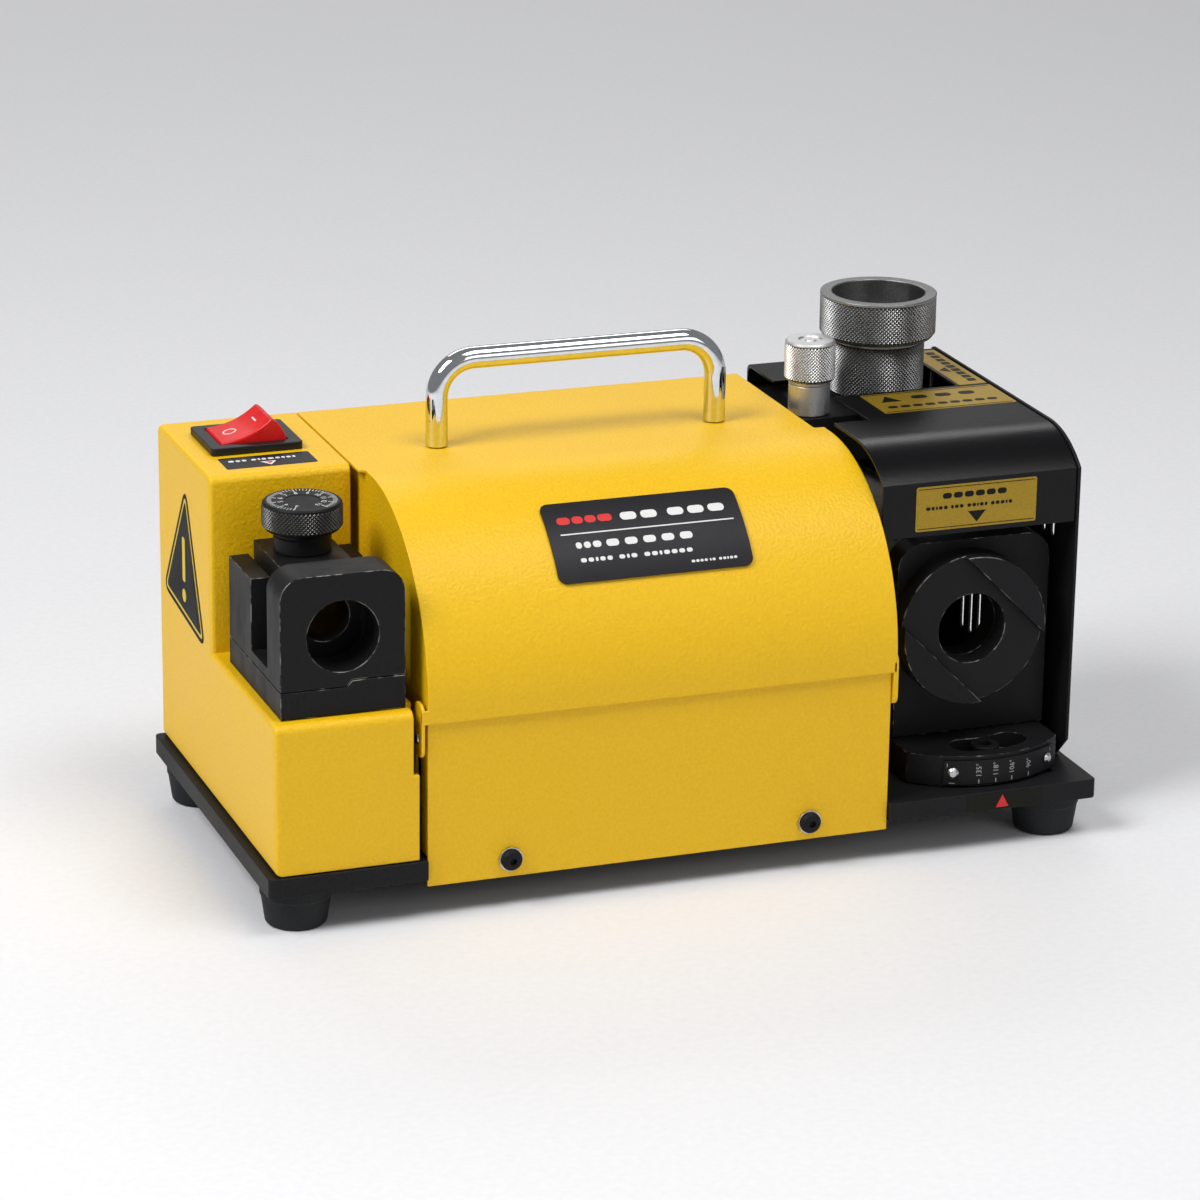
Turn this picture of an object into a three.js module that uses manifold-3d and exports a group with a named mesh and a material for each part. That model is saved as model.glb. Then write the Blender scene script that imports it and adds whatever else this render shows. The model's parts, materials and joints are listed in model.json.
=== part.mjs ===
// Bench drill bit sharpener: a double-ended motor under a bent sheet hood drives a point-grinding wheel
// on the right and a web-thinning wheel on the left. Millimetres; X left to right, Y front to back, Z up.
// The origin is on the bench, under the middle of the base plate.
import * as THREE from "three";
import { mergeVertices } from "three/addons/utils/BufferGeometryUtils.js";
import Module from "manifold-3d";

const wasm = await Module();
wasm.setup();

// ---- Driving dimensions ----
const gap = 0.3; // clearance where two pieces meet
const over = 1; // how far a cutter reaches past the faces it opens
const sheet = 1.2; // steel sheet of the covers
const base = { length: 320, width: 156, thick: 7.5, corner: 2, recess: 4.4 };
const foot = { top: 13, sole: 11, height: 15, insetX: 14, insetY: 15, round: 2, bore: 2.4 };
const footSink = { radius: 5.5, deep: 8 };
const housing = { inset: 2.8, width: 52.8, shelf: 56.2, wall: 2.5, edge: 3, soft: 2 };
const cover = { length: 181.3, seam: 0.8, height: 122.9, radius: 66.9, hem: 50.8, rearEdge: 3 };
const endPlates = { inset: 0.3, shaftClear: 6 };
const ear = { width: 9, top: 58, bottom: 38, round: 3.5, room: 2.2, below: 5.5 };
const archNotch = { wide: 2.3, behind: 75, round: 1.5 }; // the arch stands back from the left end
const topNotch = { wide: 4, low: 4 }; // the flat top stands back from the right end
const panel = { below: 10.7, screwRise: 3.8, screwInset: 31, flange: 8, overlap: 4, screwDeep: 14, seam: 2.6 };
const bolt = { radius: 2, hole: 2.3, head: 3.95, headTall: 2.2, hex: 2.5 };
// the crown of a screw head, as shares of its radius and height
const crown = { flat: 0.55, shoulder: 0.86, shoulderAt: 0.72, rimAt: 0.3, socketAt: 0.35 };
const washer = { radius: 4.5, thick: 0.8 };
const namePlate = { width: 74, thick: 0.8, fromAngle: 28, toAngle: 56, left: 54.6 };
const handle = { tube: 4.1, span: 109, rise: 32.5, bend: 14, left: 36, behind: 17, screwDeep: 12 };
const rocker = { radius: 12.6, tipLow: 165.4, tipHigh: 58.2, wide: 21.6, pivot: 0.5 };
const rockerForm = { keel: 9, dip: 3.8, flank: 110 };
const rockerPin = { radius: 1.5, past: 0.5 };
const bezel = { length: 34.5, width: 30.5, thick: 2.8, lip: 4.4, wall: 1.6, deep: 23, round: 1.5 };
const bezelAt = { side: 7.7, front: 23.7 };
const motor = { radius: 34, length: 130, axisZ: 62, wall: 2.2, rearClear: 1, shaft: 6 };
const bell = { thick: 9, lip: 2, shaftClear: 1.2 };
const bearing = { outer: 15, wide: 9 };
const rotor = { radius: 18.5, length: 66, airGap: 0.8, behind: 38, proud: 2 };
const collar = { radius: 9, long: 5 };
const fan = { tipClear: 4.8, wide: 12, hub: 10, blades: 7, blade: 2, pastBearing: 6 };
const pointWheel = { radius: 34.8, wide: 24, slope: 31 };
const webWheel = { radius: 32, wide: 9, bevel: 3, clear: 1.2 };
const nut = { across: 19, thick: 7, shaftPast: 4 };
const web = { axisX: 26.5, length: 45.5, depth: 65, rearGap: 11.1, bore: 13.1, boreZ: 85.3 };
const webBase = { height: 10.2, step: 2.3, stepAt: 24, stepRun: 2 };
const webBody = { plate: 16.3, top: 108.1, round: 8.5, floor: 4, post: 7.4, postTop: 97, postDeep: 28.5 };
const webBlock = { side: 9.2, front: 5.4, top: 102, bore: 9 };
const dial = { head: 14.6, headTall: 10, neck: 10.4, neckTall: 8, pivot: 4, pivotDeep: 1.8, edge: 0.8 };
const dialBehind = 48.8; // from the front of the port to the dial's axis
const cell = { inset: 2, height: 126.1, radius: 38.6, front: 21.5, crown: 27.1, header: 94.5, side: 1.2 };
const cellSeam = 0.5;
const opening = { notchFront: 68.6, notchWide: 14, wellFront: 101.4, rear: 5, notchRear: 128, strip: 14.5 };
const vent = { wide: 3, pitch: 7.6, high: 22, round: 1.4 };
const ventRows = [{ low: 83, behind: 39, count: 9 }, { low: 22, behind: 62, count: 8 }];
const sideChamfer = 9; // lower front corner of the side plate
const swivel = { radius: 44, left: 30.5, right: 30.7, rear: 15, height: 12.2 };
const pin = { fromRight: 37.2, fromFront: 49.9, radius: 5, head: 7.5, headTall: 3 };
const slot = { radius: 32, from: -11, to: 23, pocket: 6.3, neck: 2.9, ledge: 6, screwAngle: 2 };
const clamp = { head: 5.5, hex: 5, hexDeep: 3.2, proud: 0.2, shank: 2.3, edge: 0.6 };
const scale = { thick: 0.8, from: -25.5, to: 37, low: 1.4, high: 10.6 };
const scaleScrew = { angles: [-21, 32], head: 2.2, headTall: 0.9, shank: 0.9, hole: 1.2, long: 6 };
const portPlate = { left: 29.8, right: 31.7, front: 16.9, thick: 10, top: 88, round: 9.5 };
const port = { x: -3.2, z: 56, bore: 13.3, ring: 28.6, disc: 8.6, raise: 3.2, channel: 17.2, tilt: -45 };
const chuckHole = { fromRight: 36.5, behind: 128, radius: 13.3 };
const chuck = { stem: 12.4, inner: 9.4, cup: 22.4, cupBore: 17.8, sleeve: 18.3, drill: 6.6, edge: 0.8 };
const slit = { half: 0.6, below: 6 };
const chuckZ = { bottom: 104, seat: 118, waist: 141.3, floor: 143.6, rim: 158.3 };
const gauge = { past: 8.8, behind: 111, knob: 9.75, neck: 7.9, top: 146.7, low: 131, stem: 4, pin: 1.6 };
const gaugeFace = { edge: 1, rim: 4, boss: 2.2, sink: 0.8, bossSink: 0.2 };
const blockLow = 99.6; // underside of the bored block in the well
const stopBar = { thick: 3.4, wide: 8, travel: 3, wall: 1.6, arm: 14 };
const cradle = { width: 62, depth: 56, cheek: 18 };
const capacitor = { radius: 17, length: 74, past: 6, edge: 1.5, behind: 42 };
const terminal = { length: 58, width: 22, height: 18 };
const terminalPit = { pitch: 11, first: 12.5, radius: 2.6, deep: 8, count: 4 };
const inlet = { wide: 30, tall: 24, deep: 20, rim: 3, wall: 3, z: 5.5, proud: 2 };
const inletPin = { half: 1, tall: 5, long: 15, places: [[-6.5, -2], [0, 2], [6.5, -2]] };

// ---- Places worked out from the dimensions; Z = 0 here is the top of the base plate ----
const deck = foot.height + base.thick;
const leftX = -base.length / 2 + housing.inset;
const housingRight = leftX + housing.width;
const frontY = -base.width / 2 + 1.1;
const rearY = base.width / 2 - over;
const coverLeft = housingRight + cover.seam;
const coverRight = coverLeft + cover.length;
const sideX = base.length / 2 - cell.inset;
const widestRadius = Math.max(motor.radius, pointWheel.radius, webWheel.radius);
const motorY = rearY - sheet - motor.rearClear - widestRadius;
const stepY = motorY - webWheel.radius - webWheel.clear - housing.wall;
const endLeft = coverLeft + archNotch.wide + endPlates.inset;
const endRight = coverRight - sheet;
const webX = leftX + web.axisX;
const webRear = stepY - web.rearGap;
const webFront = webRear - web.depth;
const webLeft = webX - web.length / 2;
const webRight = webX + web.length / 2;
const headerY = -base.width / 2 + cell.front;
const pivot = { x: sideX - pin.fromRight, y: -base.width / 2 + pin.fromFront };
const chuckAt = { x: sideX - chuckHole.fromRight, y: -base.width / 2 + chuckHole.behind };
const gaugeAt = { x: coverRight + gauge.past, y: -base.width / 2 + gauge.behind };
const motorLeft = (coverLeft + coverRight - motor.length) / 2;
const motorRight = motorLeft + motor.length;
const pointX = pivot.x + port.x + pointWheel.wide / 2;
const panelFace = frontY + sheet + gap;

// ---- Small tools: geometry to solid and back, joining, cutting ----
const rad = THREE.MathUtils.degToRad;

function solidOf(geometry) {
  const bare = geometry.clone();
  bare.deleteAttribute("normal");
  bare.deleteAttribute("uv");
  const merged = mergeVertices(bare, 1e-4);
  const triVerts = new Uint32Array(merged.index.array);
  const vertProperties = merged.attributes.position.array;
  const made = new wasm.Manifold(new wasm.Mesh({ numProp: 3, vertProperties, triVerts }));
  if (made.volume() > 0) return made;
  for (let i = 0; i < triVerts.length; i += 3) {
    [triVerts[i + 1], triVerts[i + 2]] = [triVerts[i + 2], triVerts[i + 1]];
  }
  return new wasm.Manifold(new wasm.Mesh({ numProp: 3, vertProperties, triVerts }));
}

function geometryOf(solid) {
  const mesh = solid.getMesh();
  const geometry = new THREE.BufferGeometry();
  geometry.setAttribute("position", new THREE.BufferAttribute(new Float32Array(mesh.vertProperties), 3));
  geometry.setIndex(new THREE.BufferAttribute(new Uint32Array(mesh.triVerts), 1));
  geometry.computeVertexNormals();
  return geometry;
}

const join = (first, ...others) => others.reduce((a, b) => a.add(b), first);
const cut = (first, ...others) => others.reduce((a, b) => a.subtract(b), first);

function block(x0, x1, y0, y1, z0, z1) {
  const geometry = new THREE.BoxGeometry(x1 - x0, y1 - y0, z1 - z0);
  return solidOf(geometry.translate((x0 + x1) / 2, (y0 + y1) / 2, (z0 + z1) / 2));
}

// Lays a shape drawn in (u, v) along an axis: X takes (y, z), Y takes (x, z) and Z takes (x, y).
function prism(shape, axis, from, to, curveSegments = 12) {
  const depth = to - from;
  const geometry = new THREE.ExtrudeGeometry(shape, { depth, bevelEnabled: false, curveSegments });
  const [x, y, z] = [new THREE.Vector3(1, 0, 0), new THREE.Vector3(0, 1, 0), new THREE.Vector3(0, 0, 1)];
  const turn = new THREE.Matrix4();
  if (axis === "x") turn.makeBasis(y, z, x).setPosition(from, 0, 0);
  if (axis === "y") turn.makeBasis(x, z, y.clone().negate()).setPosition(0, to, 0);
  if (axis === "z") turn.setPosition(0, 0, from);
  return solidOf(geometry.applyMatrix4(turn));
}

// Turns a closed profile of [radius, distance along the axis] about an axis through `at`.
function turned(profile, axis, at = [0, 0], sides = 32) {
  const points = [...profile, profile[0]].map(([r, h]) => new THREE.Vector2(r, h));
  const geometry = new THREE.LatheGeometry(points, sides);
  if (axis === "x") geometry.rotateZ(-Math.PI / 2).translate(0, at[0], at[1]);
  if (axis === "y") geometry.translate(at[0], 0, at[1]);
  if (axis === "z") geometry.rotateX(Math.PI / 2).translate(at[0], at[1], 0);
  return solidOf(geometry);
}

const rod = (axis, radius, from, to, at = [0, 0], sides = 32) =>
  turned([[0, from], [radius, from], [radius, to], [0, to]], axis, at, sides);

const ring = (axis, inner, outer, from, to, at = [0, 0], sides = 32) =>
  turned([[inner, from], [outer, from], [outer, to], [inner, to]], axis, at, sides);

// A rod with its far edge broken by a small chamfer.
function knobRod(axis, radius, from, to, chamfer, at, sides = 32) {
  const profile = [[0, from], [radius, from], [radius, to - chamfer], [radius - chamfer, to], [0, to]];
  return turned(profile, axis, at, sides);
}

function roundedRect(u0, u1, v0, v1, r) {
  const shape = new THREE.Shape();
  shape.moveTo(u0 + r, v0);
  shape.lineTo(u1 - r, v0);
  shape.absarc(u1 - r, v0 + r, r, -Math.PI / 2, 0, false);
  shape.lineTo(u1, v1 - r);
  shape.absarc(u1 - r, v1 - r, r, 0, Math.PI / 2, false);
  shape.lineTo(u0 + r, v1);
  shape.absarc(u0 + r, v1 - r, r, Math.PI / 2, Math.PI, false);
  shape.lineTo(u0, v0 + r);
  shape.absarc(u0 + r, v0 + r, r, Math.PI, Math.PI * 1.5, false);
  return shape;
}

// An upright plate outline whose two top corners are rounded.
function arch(u0, u1, v0, v1, r) {
  const shape = new THREE.Shape();
  shape.moveTo(u0, v0);
  shape.lineTo(u1, v0);
  shape.absarc(u1 - r, v1 - r, r, 0, Math.PI / 2, false);
  shape.absarc(u0 + r, v1 - r, r, Math.PI / 2, Math.PI, false);
  return shape;
}

function hexagon(across, at = [0, 0]) {
  const r = across / Math.sqrt(3);
  const corner = (i) => [at[0] + r * Math.cos((i * Math.PI) / 3), at[1] + r * Math.sin((i * Math.PI) / 3)];
  return new THREE.Shape(Array.from({ length: 6 }, (_, i) => new THREE.Vector2(...corner(i))));
}

// ---- Finishes and the tree ----
const finishes = {
  yellowPaint: [0xe9b81c, 0.55, 0.1],
  blackPaint: [0x17171a, 0.35, 0.2],
  blackOxide: [0x2a2a2b, 0.45, 0.6],
  rubber: [0x26282b, 0.85, 0],
  chrome: [0xdadde0, 0.08, 1],
  knurledSteel: [0x9a9893, 0.4, 1],
  steel: [0xa9a8a4, 0.35, 1],
  zinc: [0xc4c6c8, 0.3, 1],
  blackPlastic: [0x1a1a1c, 0.45, 0],
  redPlastic: [0xe01010, 0.25, 0],
  nameFoil: [0x2b2a2e, 0.4, 0.1],
  castAluminium: [0xaeb0b2, 0.5, 0.9],
  laminations: [0x6d7074, 0.5, 0.8],
  abrasive: [0x8d8a80, 0.9, 0.2],
  greyPlastic: [0xcfd0cc, 0.5, 0],
};

const machine = new THREE.Group();
const onDeck = new THREE.Group();
onDeck.position.z = deck;
machine.add(onDeck);

function add(name, solid, finish, group = onDeck) {
  const [color, roughness, metalness] = finishes[finish];
  const material = new THREE.MeshStandardMaterial({ color, roughness, metalness });
  const mesh = new THREE.Mesh(geometryOf(solid), material);
  mesh.name = name;
  group.add(mesh);
}

// ---- Base plate and feet ----
const footX = base.length / 2 - foot.insetX;
const footY = base.width / 2 - foot.insetY;
const panelLeft = coverLeft + panel.seam;
const panelRight = endRight - gap;
const panelScrewX = [panelLeft + panel.screwInset, panelRight - panel.screwInset];
const slotScrew = {
  x: pivot.x + slot.radius * Math.sin(rad(slot.screwAngle)),
  y: pivot.y - slot.radius * Math.cos(rad(slot.screwAngle)),
};

const halfL = base.length / 2;
const halfW = base.width / 2;
const tapped = (radius, x, y) => rod("z", radius, -base.thick - over, over, [x, y], 16);
const plateBody = prism(roundedRect(-halfL, halfL, -halfW, halfW, base.corner), "z", -base.thick, 0, 4);
const recessY = -halfW + base.recess;
const recess = block(panelLeft - gap, panelRight + gap, -halfW - over, recessY, -base.thick - over, over);
const plateCuts = [recess];
for (const x of panelScrewX) {
  plateCuts.push(rod("y", bolt.hole, -halfW, recessY + panel.screwDeep - over, [x, -panel.screwRise], 16));
}
for (const x of [-footX, footX]) {
  for (const y of [-footY, footY]) plateCuts.push(tapped(foot.bore, x, y));
}
plateCuts.push(tapped(pin.radius + gap, pivot.x, pivot.y));
plateCuts.push(tapped(bolt.hole + gap, slotScrew.x, slotScrew.y));
add("base_plate", cut(plateBody, ...plateCuts), "blackPaint");

const footTop = -base.thick - gap;
const footProfile = [
  [foot.bore, footTop],
  [foot.bore, -deck + footSink.deep],
  [footSink.radius, -deck + footSink.deep],
  [footSink.radius, -deck],
  [foot.sole - foot.round, -deck],
  [foot.sole - foot.round * crown.rimAt, -deck + foot.round * crown.rimAt],
  [foot.sole, -deck + foot.round],
  [foot.top, footTop],
];
for (const [side, x] of [["left", -footX], ["right", footX]]) {
  add(`foot_front_${side}`, turned(footProfile, "z", [x, -footY], 24), "rubber");
  add(`foot_rear_${side}`, turned(footProfile, "z", [x, footY], 24), "rubber");
}

// ---- Left housing: a stepped casting, open underneath and towards the motor ----
// Section in (y, z), shrunk by `inset`: low shelf in front for the web port, full height behind it.
function housingSection(inset, bottom) {
  const e = housing.edge;
  const [y0, y1, y2] = [frontY + inset, stepY + inset, rearY - inset];
  const [z1, z2] = [housing.shelf - inset, cover.height - inset];
  const s = new THREE.Shape();
  s.moveTo(y0, bottom);
  s.lineTo(y0, z1 - e);
  s.absarc(y0 + e, z1 - e, e, Math.PI, Math.PI / 2, true);
  s.lineTo(y1, z1);
  s.lineTo(y1, z2 - e);
  s.absarc(y1 + e, z2 - e, e, Math.PI, Math.PI / 2, true);
  s.lineTo(y2 - e, z2);
  s.absarc(y2 - e, z2 - e, e, Math.PI / 2, 0, true);
  s.lineTo(y2, bottom);
  return s;
}

const bezelLeft = leftX + bezelAt.side;
const bezelFront = stepY + bezelAt.front;
const bezelRight = bezelLeft + bezel.length;
const bezelRear = bezelFront + bezel.width;
const bodyInset = bezel.lip - bezel.wall;
const roomInset = bodyInset - gap; // the hole for the switch body, a little larger than the body
const inletX = (leftX + housingRight) / 2;

const housingOuter = new THREE.ExtrudeGeometry(housingSection(0, gap), {
  depth: housing.width,
  bevelThickness: housing.soft,
  bevelSize: housing.soft,
  bevelOffset: -housing.soft,
  bevelSegments: 2,
  curveSegments: 4,
});
housingOuter.applyMatrix4(
  new THREE.Matrix4()
    .makeBasis(new THREE.Vector3(0, 1, 0), new THREE.Vector3(0, 0, 1), new THREE.Vector3(1, 0, 0))
    .setPosition(leftX + housing.soft, 0, 0),
);
const housingShell = cut(
  solidOf(housingOuter),
  block(housingRight, housingRight + 2 * housing.soft + over, -halfW, halfW, -over, cover.height + over),
  prism(housingSection(housing.wall, -over), "x", leftX + housing.wall, housingRight + over, 4),
  block(
    housingRight - ear.room,
    housingRight + over,
    -halfW,
    frontY + ear.width + over,
    ear.bottom - ear.below,
    housing.shelf + over,
  ),
  rod("y", webBlock.bore + over, stepY - over, stepY + housing.wall + over, [webX, web.boreZ], 24),
  block(
    bezelLeft + roomInset,
    bezelRight - roomInset,
    bezelFront + roomInset,
    bezelRear - roomInset,
    cover.height - housing.wall - over,
    cover.height + over,
  ),
  block(
    inletX - inlet.wide / 2,
    inletX + inlet.wide / 2,
    rearY - housing.wall - over,
    rearY + over,
    inlet.z,
    inlet.z + inlet.tall,
  ),
);
add("left_housing", housingShell, "yellowPaint");

// ---- Rocker switch: black body with a bezel, red rocker on two pins ----
const bezelZ = cover.height + gap;
const wellLeft = bezelLeft + bezel.lip;
const wellRight = bezelRight - bezel.lip;
const wellFront = bezelFront + (bezel.width - rocker.wide) / 2 - gap;
const wellRear = wellFront + rocker.wide + 2 * gap;
const rockerAt = [(wellLeft + wellRight) / 2, cover.height + rocker.pivot];
const bezelShape = roundedRect(bezelLeft, bezelRight, bezelFront, bezelRear, bezel.round);
const switchShell = join(
  prism(bezelShape, "z", bezelZ, bezelZ + bezel.thick, 3),
  block(
    bezelLeft + bodyInset,
    bezelRight - bodyInset,
    bezelFront + bodyInset,
    bezelRear - bodyInset,
    bezelZ - bezel.deep,
    bezelZ + over,
  ),
);
const switchBody = cut(
  switchShell,
  block(
    wellLeft,
    wellRight,
    wellFront,
    wellRear,
    bezelZ - bezel.deep + bezel.lip,
    bezelZ + bezel.thick + over,
  ),
  rod("y", rockerPin.radius + gap, wellFront - over, wellRear + over, rockerAt, 12),
);
add("switch_body", switchBody, "blackPlastic");

// Both ends of the rocker are arcs about its pivot; its top is a shallow valley between the two tips.
const polar = (radius, angle) => new THREE.Vector2(
  rockerAt[0] + radius * Math.cos(rad(angle)),
  rockerAt[1] + radius * Math.sin(rad(angle)),
);
function rockerSection() {
  const r = rocker.radius;
  const middle = (rocker.tipLow + rocker.tipHigh) / 2;
  const s = new THREE.Shape();
  s.moveTo(...polar(r, rocker.tipLow));
  s.absarc(rockerAt[0], rockerAt[1], r, rad(rocker.tipLow), rad(middle + rockerForm.flank), false);
  s.lineTo(...polar(rockerForm.keel, middle + 180));
  s.lineTo(...polar(r, middle - rockerForm.flank));
  s.absarc(rockerAt[0], rockerAt[1], r, rad(middle - rockerForm.flank), rad(rocker.tipHigh), false);
  s.quadraticCurveTo(...polar(rockerForm.dip, middle), ...polar(r, rocker.tipLow));
  return s;
}
const rockerBody = join(
  prism(rockerSection(), "y", wellFront + gap, wellRear - gap, 6),
  rod("y", rockerPin.radius, wellFront - rockerPin.past, wellRear + rockerPin.past, rockerAt, 12),
);
add("switch_rocker", rockerBody, "redPlastic");

// ---- Web-thinning port: stepped base, sliding bored body, fixed knob block, dial knob ----
const webTop = housing.shelf + webBase.height; // low side of the step
const shelfZ = housing.shelf + gap;
function steppedOutline(bottom, lift, top) {
  const s = new THREE.Shape();
  s.moveTo(webLeft, bottom(0));
  const at = webLeft + webBase.stepAt;
  if (lift) {
    s.lineTo(webRight, bottom(0));
    s.lineTo(webRight, top + webBase.step);
    s.lineTo(at + webBase.stepRun, top + webBase.step);
    s.lineTo(at, top);
    s.lineTo(webLeft, top);
    return s;
  }
  s.lineTo(at, bottom(0));
  s.lineTo(at + webBase.stepRun, bottom(1));
  s.lineTo(webRight, bottom(1));
  s.lineTo(webRight, top);
  s.lineTo(webLeft, top);
  return s;
}
const flatBottom = () => shelfZ;
const steppedBottom = (side) => webTop + gap + side * webBase.step;
add("web_port_base", prism(steppedOutline(flatBottom, true, webTop), "y", webFront, webRear), "blackOxide");

const floorTop = webTop + webBody.floor;
const plateRear = webFront + webBody.plate;
const postFront = webRear - webBody.postDeep;
const above = steppedOutline(steppedBottom, false, webBody.postTop);
const slideSlab = prism(above, "y", webFront, webRear - gap);
const plateShape = arch(webLeft, webRight, floorTop, webBody.top, webBody.round);
const platePanel = prism(plateShape, "y", webFront, plateRear, 5);
const postLeft = webLeft + webBody.post;
const postRight = webRight - webBody.post;
const blockLeft = webLeft + webBlock.side;
const blockRight = webRight - webBlock.side;
const slideBody = cut(
  join(slideSlab, platePanel),
  block(postLeft, postRight, plateRear, webRear + over, housing.shelf, webBody.top),
  block(webLeft - over, webRight + over, plateRear, postFront, floorTop, webBody.top),
  rod("y", web.bore, webFront - over, plateRear + over, [webX, web.boreZ], 40),
);
add("web_port_body", slideBody, "blackOxide");

const dialY = webFront + dialBehind;
const knobBlock = cut(
  prism(steppedOutline(steppedBottom, false, webBlock.top), "y", plateRear + webBlock.front, webRear - gap),
  block(webLeft - over, blockLeft, webFront, webRear + over, 0, webBlock.top + over),
  block(blockRight, webRight + over, webFront, webRear + over, 0, webBlock.top + over),
  rod("y", webBlock.bore, webFront, webRear + over, [webX, web.boreZ], 32),
  rod("z", dial.pivot + gap, webBlock.top - dial.pivotDeep - gap, webBlock.top + over, [webX, dialY], 20),
);
add("web_knob_block", knobBlock, "blackOxide");

const neckLow = webBlock.top + gap;
const headLow = neckLow + dial.neckTall;
const dialKnob = join(
  rod("z", dial.pivot, webBlock.top - dial.pivotDeep, neckLow + over, [webX, dialY], 20),
  rod("z", dial.neck, neckLow, headLow + over, [webX, dialY], 36),
  knobRod("z", dial.head, headLow, headLow + dial.headTall, dial.edge, [webX, dialY], 40),
);
add("web_dial_knob", dialKnob, "blackOxide");

// ---- Main hood ----
// Section in (y, z), shrunk by `inset`: straight front, quarter-round shoulder, flat top, straight back.
function hoodSection(inset, bottom) {
  const [cy, cz] = [frontY + cover.radius, cover.height - cover.radius];
  const e = cover.rearEdge;
  const s = new THREE.Shape();
  s.moveTo(frontY + inset, bottom);
  s.lineTo(frontY + inset, cz);
  s.absarc(cy, cz, cover.radius - inset, Math.PI, Math.PI / 2, true);
  s.lineTo(rearY - inset - e, cover.height - inset);
  s.absarc(rearY - inset - e, cover.height - inset - e, e, Math.PI / 2, 0, true);
  s.lineTo(rearY - inset, bottom);
  return s;
}

const handleX = [coverLeft + handle.left, coverLeft + handle.left + handle.span];
const notchRear = -halfW + archNotch.behind;
const notchReach = archNotch.round + over;
const notchCutter = join(
  prism(
    roundedRect(
      coverLeft - notchReach,
      coverLeft + archNotch.wide,
      ear.top,
      cover.height + notchReach,
      archNotch.round,
    ),
    "y",
    -halfW - over,
    notchRear - notchReach,
    4,
  ),
  prism(
    roundedRect(
      coverLeft - notchReach,
      coverLeft + archNotch.wide,
      -halfW,
      notchRear,
      archNotch.round,
    ),
    "z",
    cover.height - cover.radius,
    cover.height + over,
    4,
  ),
);
const topCutter = block(
  coverRight - topNotch.wide,
  coverRight + over,
  notchRear,
  halfW + over,
  cover.height - topNotch.low,
  cover.height + over,
);
const hoodSheet = cut(
  prism(hoodSection(0, gap), "x", coverLeft, coverRight, 9),
  prism(hoodSection(sheet, -over), "x", coverLeft - over, coverRight + over, 9),
  block(coverLeft - over, coverRight + over, -halfW, frontY + cover.radius, -over, cover.hem),
  notchCutter,
);
const shaftHole = motor.shaft + endPlates.shaftClear;
const panelTop = cover.hem + panel.overlap;
function endPlate(x) {
  return cut(
    prism(hoodSection(sheet / 2, gap), "x", x, x + sheet, 9),
    block(x - over, x + sheet + over, -halfW, panelFace + panel.screwDeep, -over, ear.bottom),
    block(x - over, x + sheet + over, -halfW, panelFace + panel.flange + gap, -over, panelTop + gap),
    rod("x", shaftHole, x - over, x + sheet + over, [motorY, motor.axisZ], 28),
  );
}
const earShape = roundedRect(frontY, frontY + ear.width, ear.bottom, ear.top, ear.round);
const ears = join(
  prism(earShape, "x", coverLeft, coverLeft + sheet, 4),
  prism(earShape, "x", coverRight - sheet, coverRight + sheet / 2, 4),
);
const earRear = frontY + ear.width;
const earRoom = block(
  endRight - over,
  coverRight + over,
  panelFace - over,
  earRear + over,
  ear.bottom - over,
  ear.top,
);
const handleHoles = handleX.map((x) =>
  rod("z", bolt.hole, cover.height - sheet - over, cover.height + over, [x, handle.behind], 16),
);
const hoodEnds = join(endPlate(endLeft), cut(endPlate(endRight), earRoom));
add("main_cover", cut(join(hoodSheet, hoodEnds, ears), topCutter, ...handleHoles), "yellowPaint");

// ---- Front panel, its screws and washers ----
const screwHoles = panelScrewX.map((x) =>
  rod("y", bolt.hole, panelFace - over, panelFace + sheet + over, [x, -panel.screwRise], 16),
);
const panelSheet = join(
  block(panelLeft, panelRight, panelFace, panelFace + sheet, -panel.below, panelTop),
  block(panelLeft, panelRight, panelFace, panelFace + panel.flange, panelTop - sheet, panelTop),
  block(panelLeft, panelLeft + sheet, panelFace, panelFace + panel.flange, gap, panelTop),
  block(panelRight - sheet, panelRight, panelFace, panelFace + panel.flange, gap, panelTop),
);
add("front_panel", cut(panelSheet, ...screwHoles), "yellowPaint");

// Button-head screw along +Y with a hexagon socket; `face` is what its head rests on.
function buttonScrew(x, z, face, shank) {
  const h = bolt.headTall;
  const profile = [
    [0, face - h],
    [bolt.head * crown.flat, face - h],
    [bolt.head * crown.shoulder, face - h * crown.shoulderAt],
    [bolt.head, face - h * crown.rimAt],
    [bolt.head, face],
    [bolt.radius, face],
    [bolt.radius, face + shank],
    [0, face + shank],
  ];
  const socket = prism(hexagon(bolt.hex, [x, z]), "y", face - h - over, face - h * crown.socketAt);
  return cut(turned(profile, "y", [x, z], 24), socket);
}
const washerFront = panelFace - gap - washer.thick;
["left", "right"].forEach((side, i) => {
  const at = [panelScrewX[i], -panel.screwRise];
  const disc = ring("y", bolt.hole, washer.radius, washerFront, washerFront + washer.thick, at, 24);
  add(`panel_washer_${side}`, disc, "zinc");
  add(`panel_screw_${side}`, buttonScrew(at[0], at[1], washerFront - gap, panel.screwDeep), "blackOxide");
});

// ---- Name plate, bent over the shoulder of the hood ----
function bentStrip(radius, thick, from, to) {
  const centre = [frontY + cover.radius, cover.height - cover.radius];
  const s = new THREE.Shape();
  const [a, b] = [rad(90 + from), rad(90 + to)];
  s.absarc(centre[0], centre[1], radius + thick, a, b, false);
  s.absarc(centre[0], centre[1], radius, b, a, true);
  return s;
}
const plateX = coverLeft + namePlate.left;
const plateBend = bentStrip(cover.radius + gap, namePlate.thick, namePlate.fromAngle, namePlate.toAngle);
add("name_plate", prism(plateBend, "x", plateX, plateX + namePlate.width, 8), "nameFoil");

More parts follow.
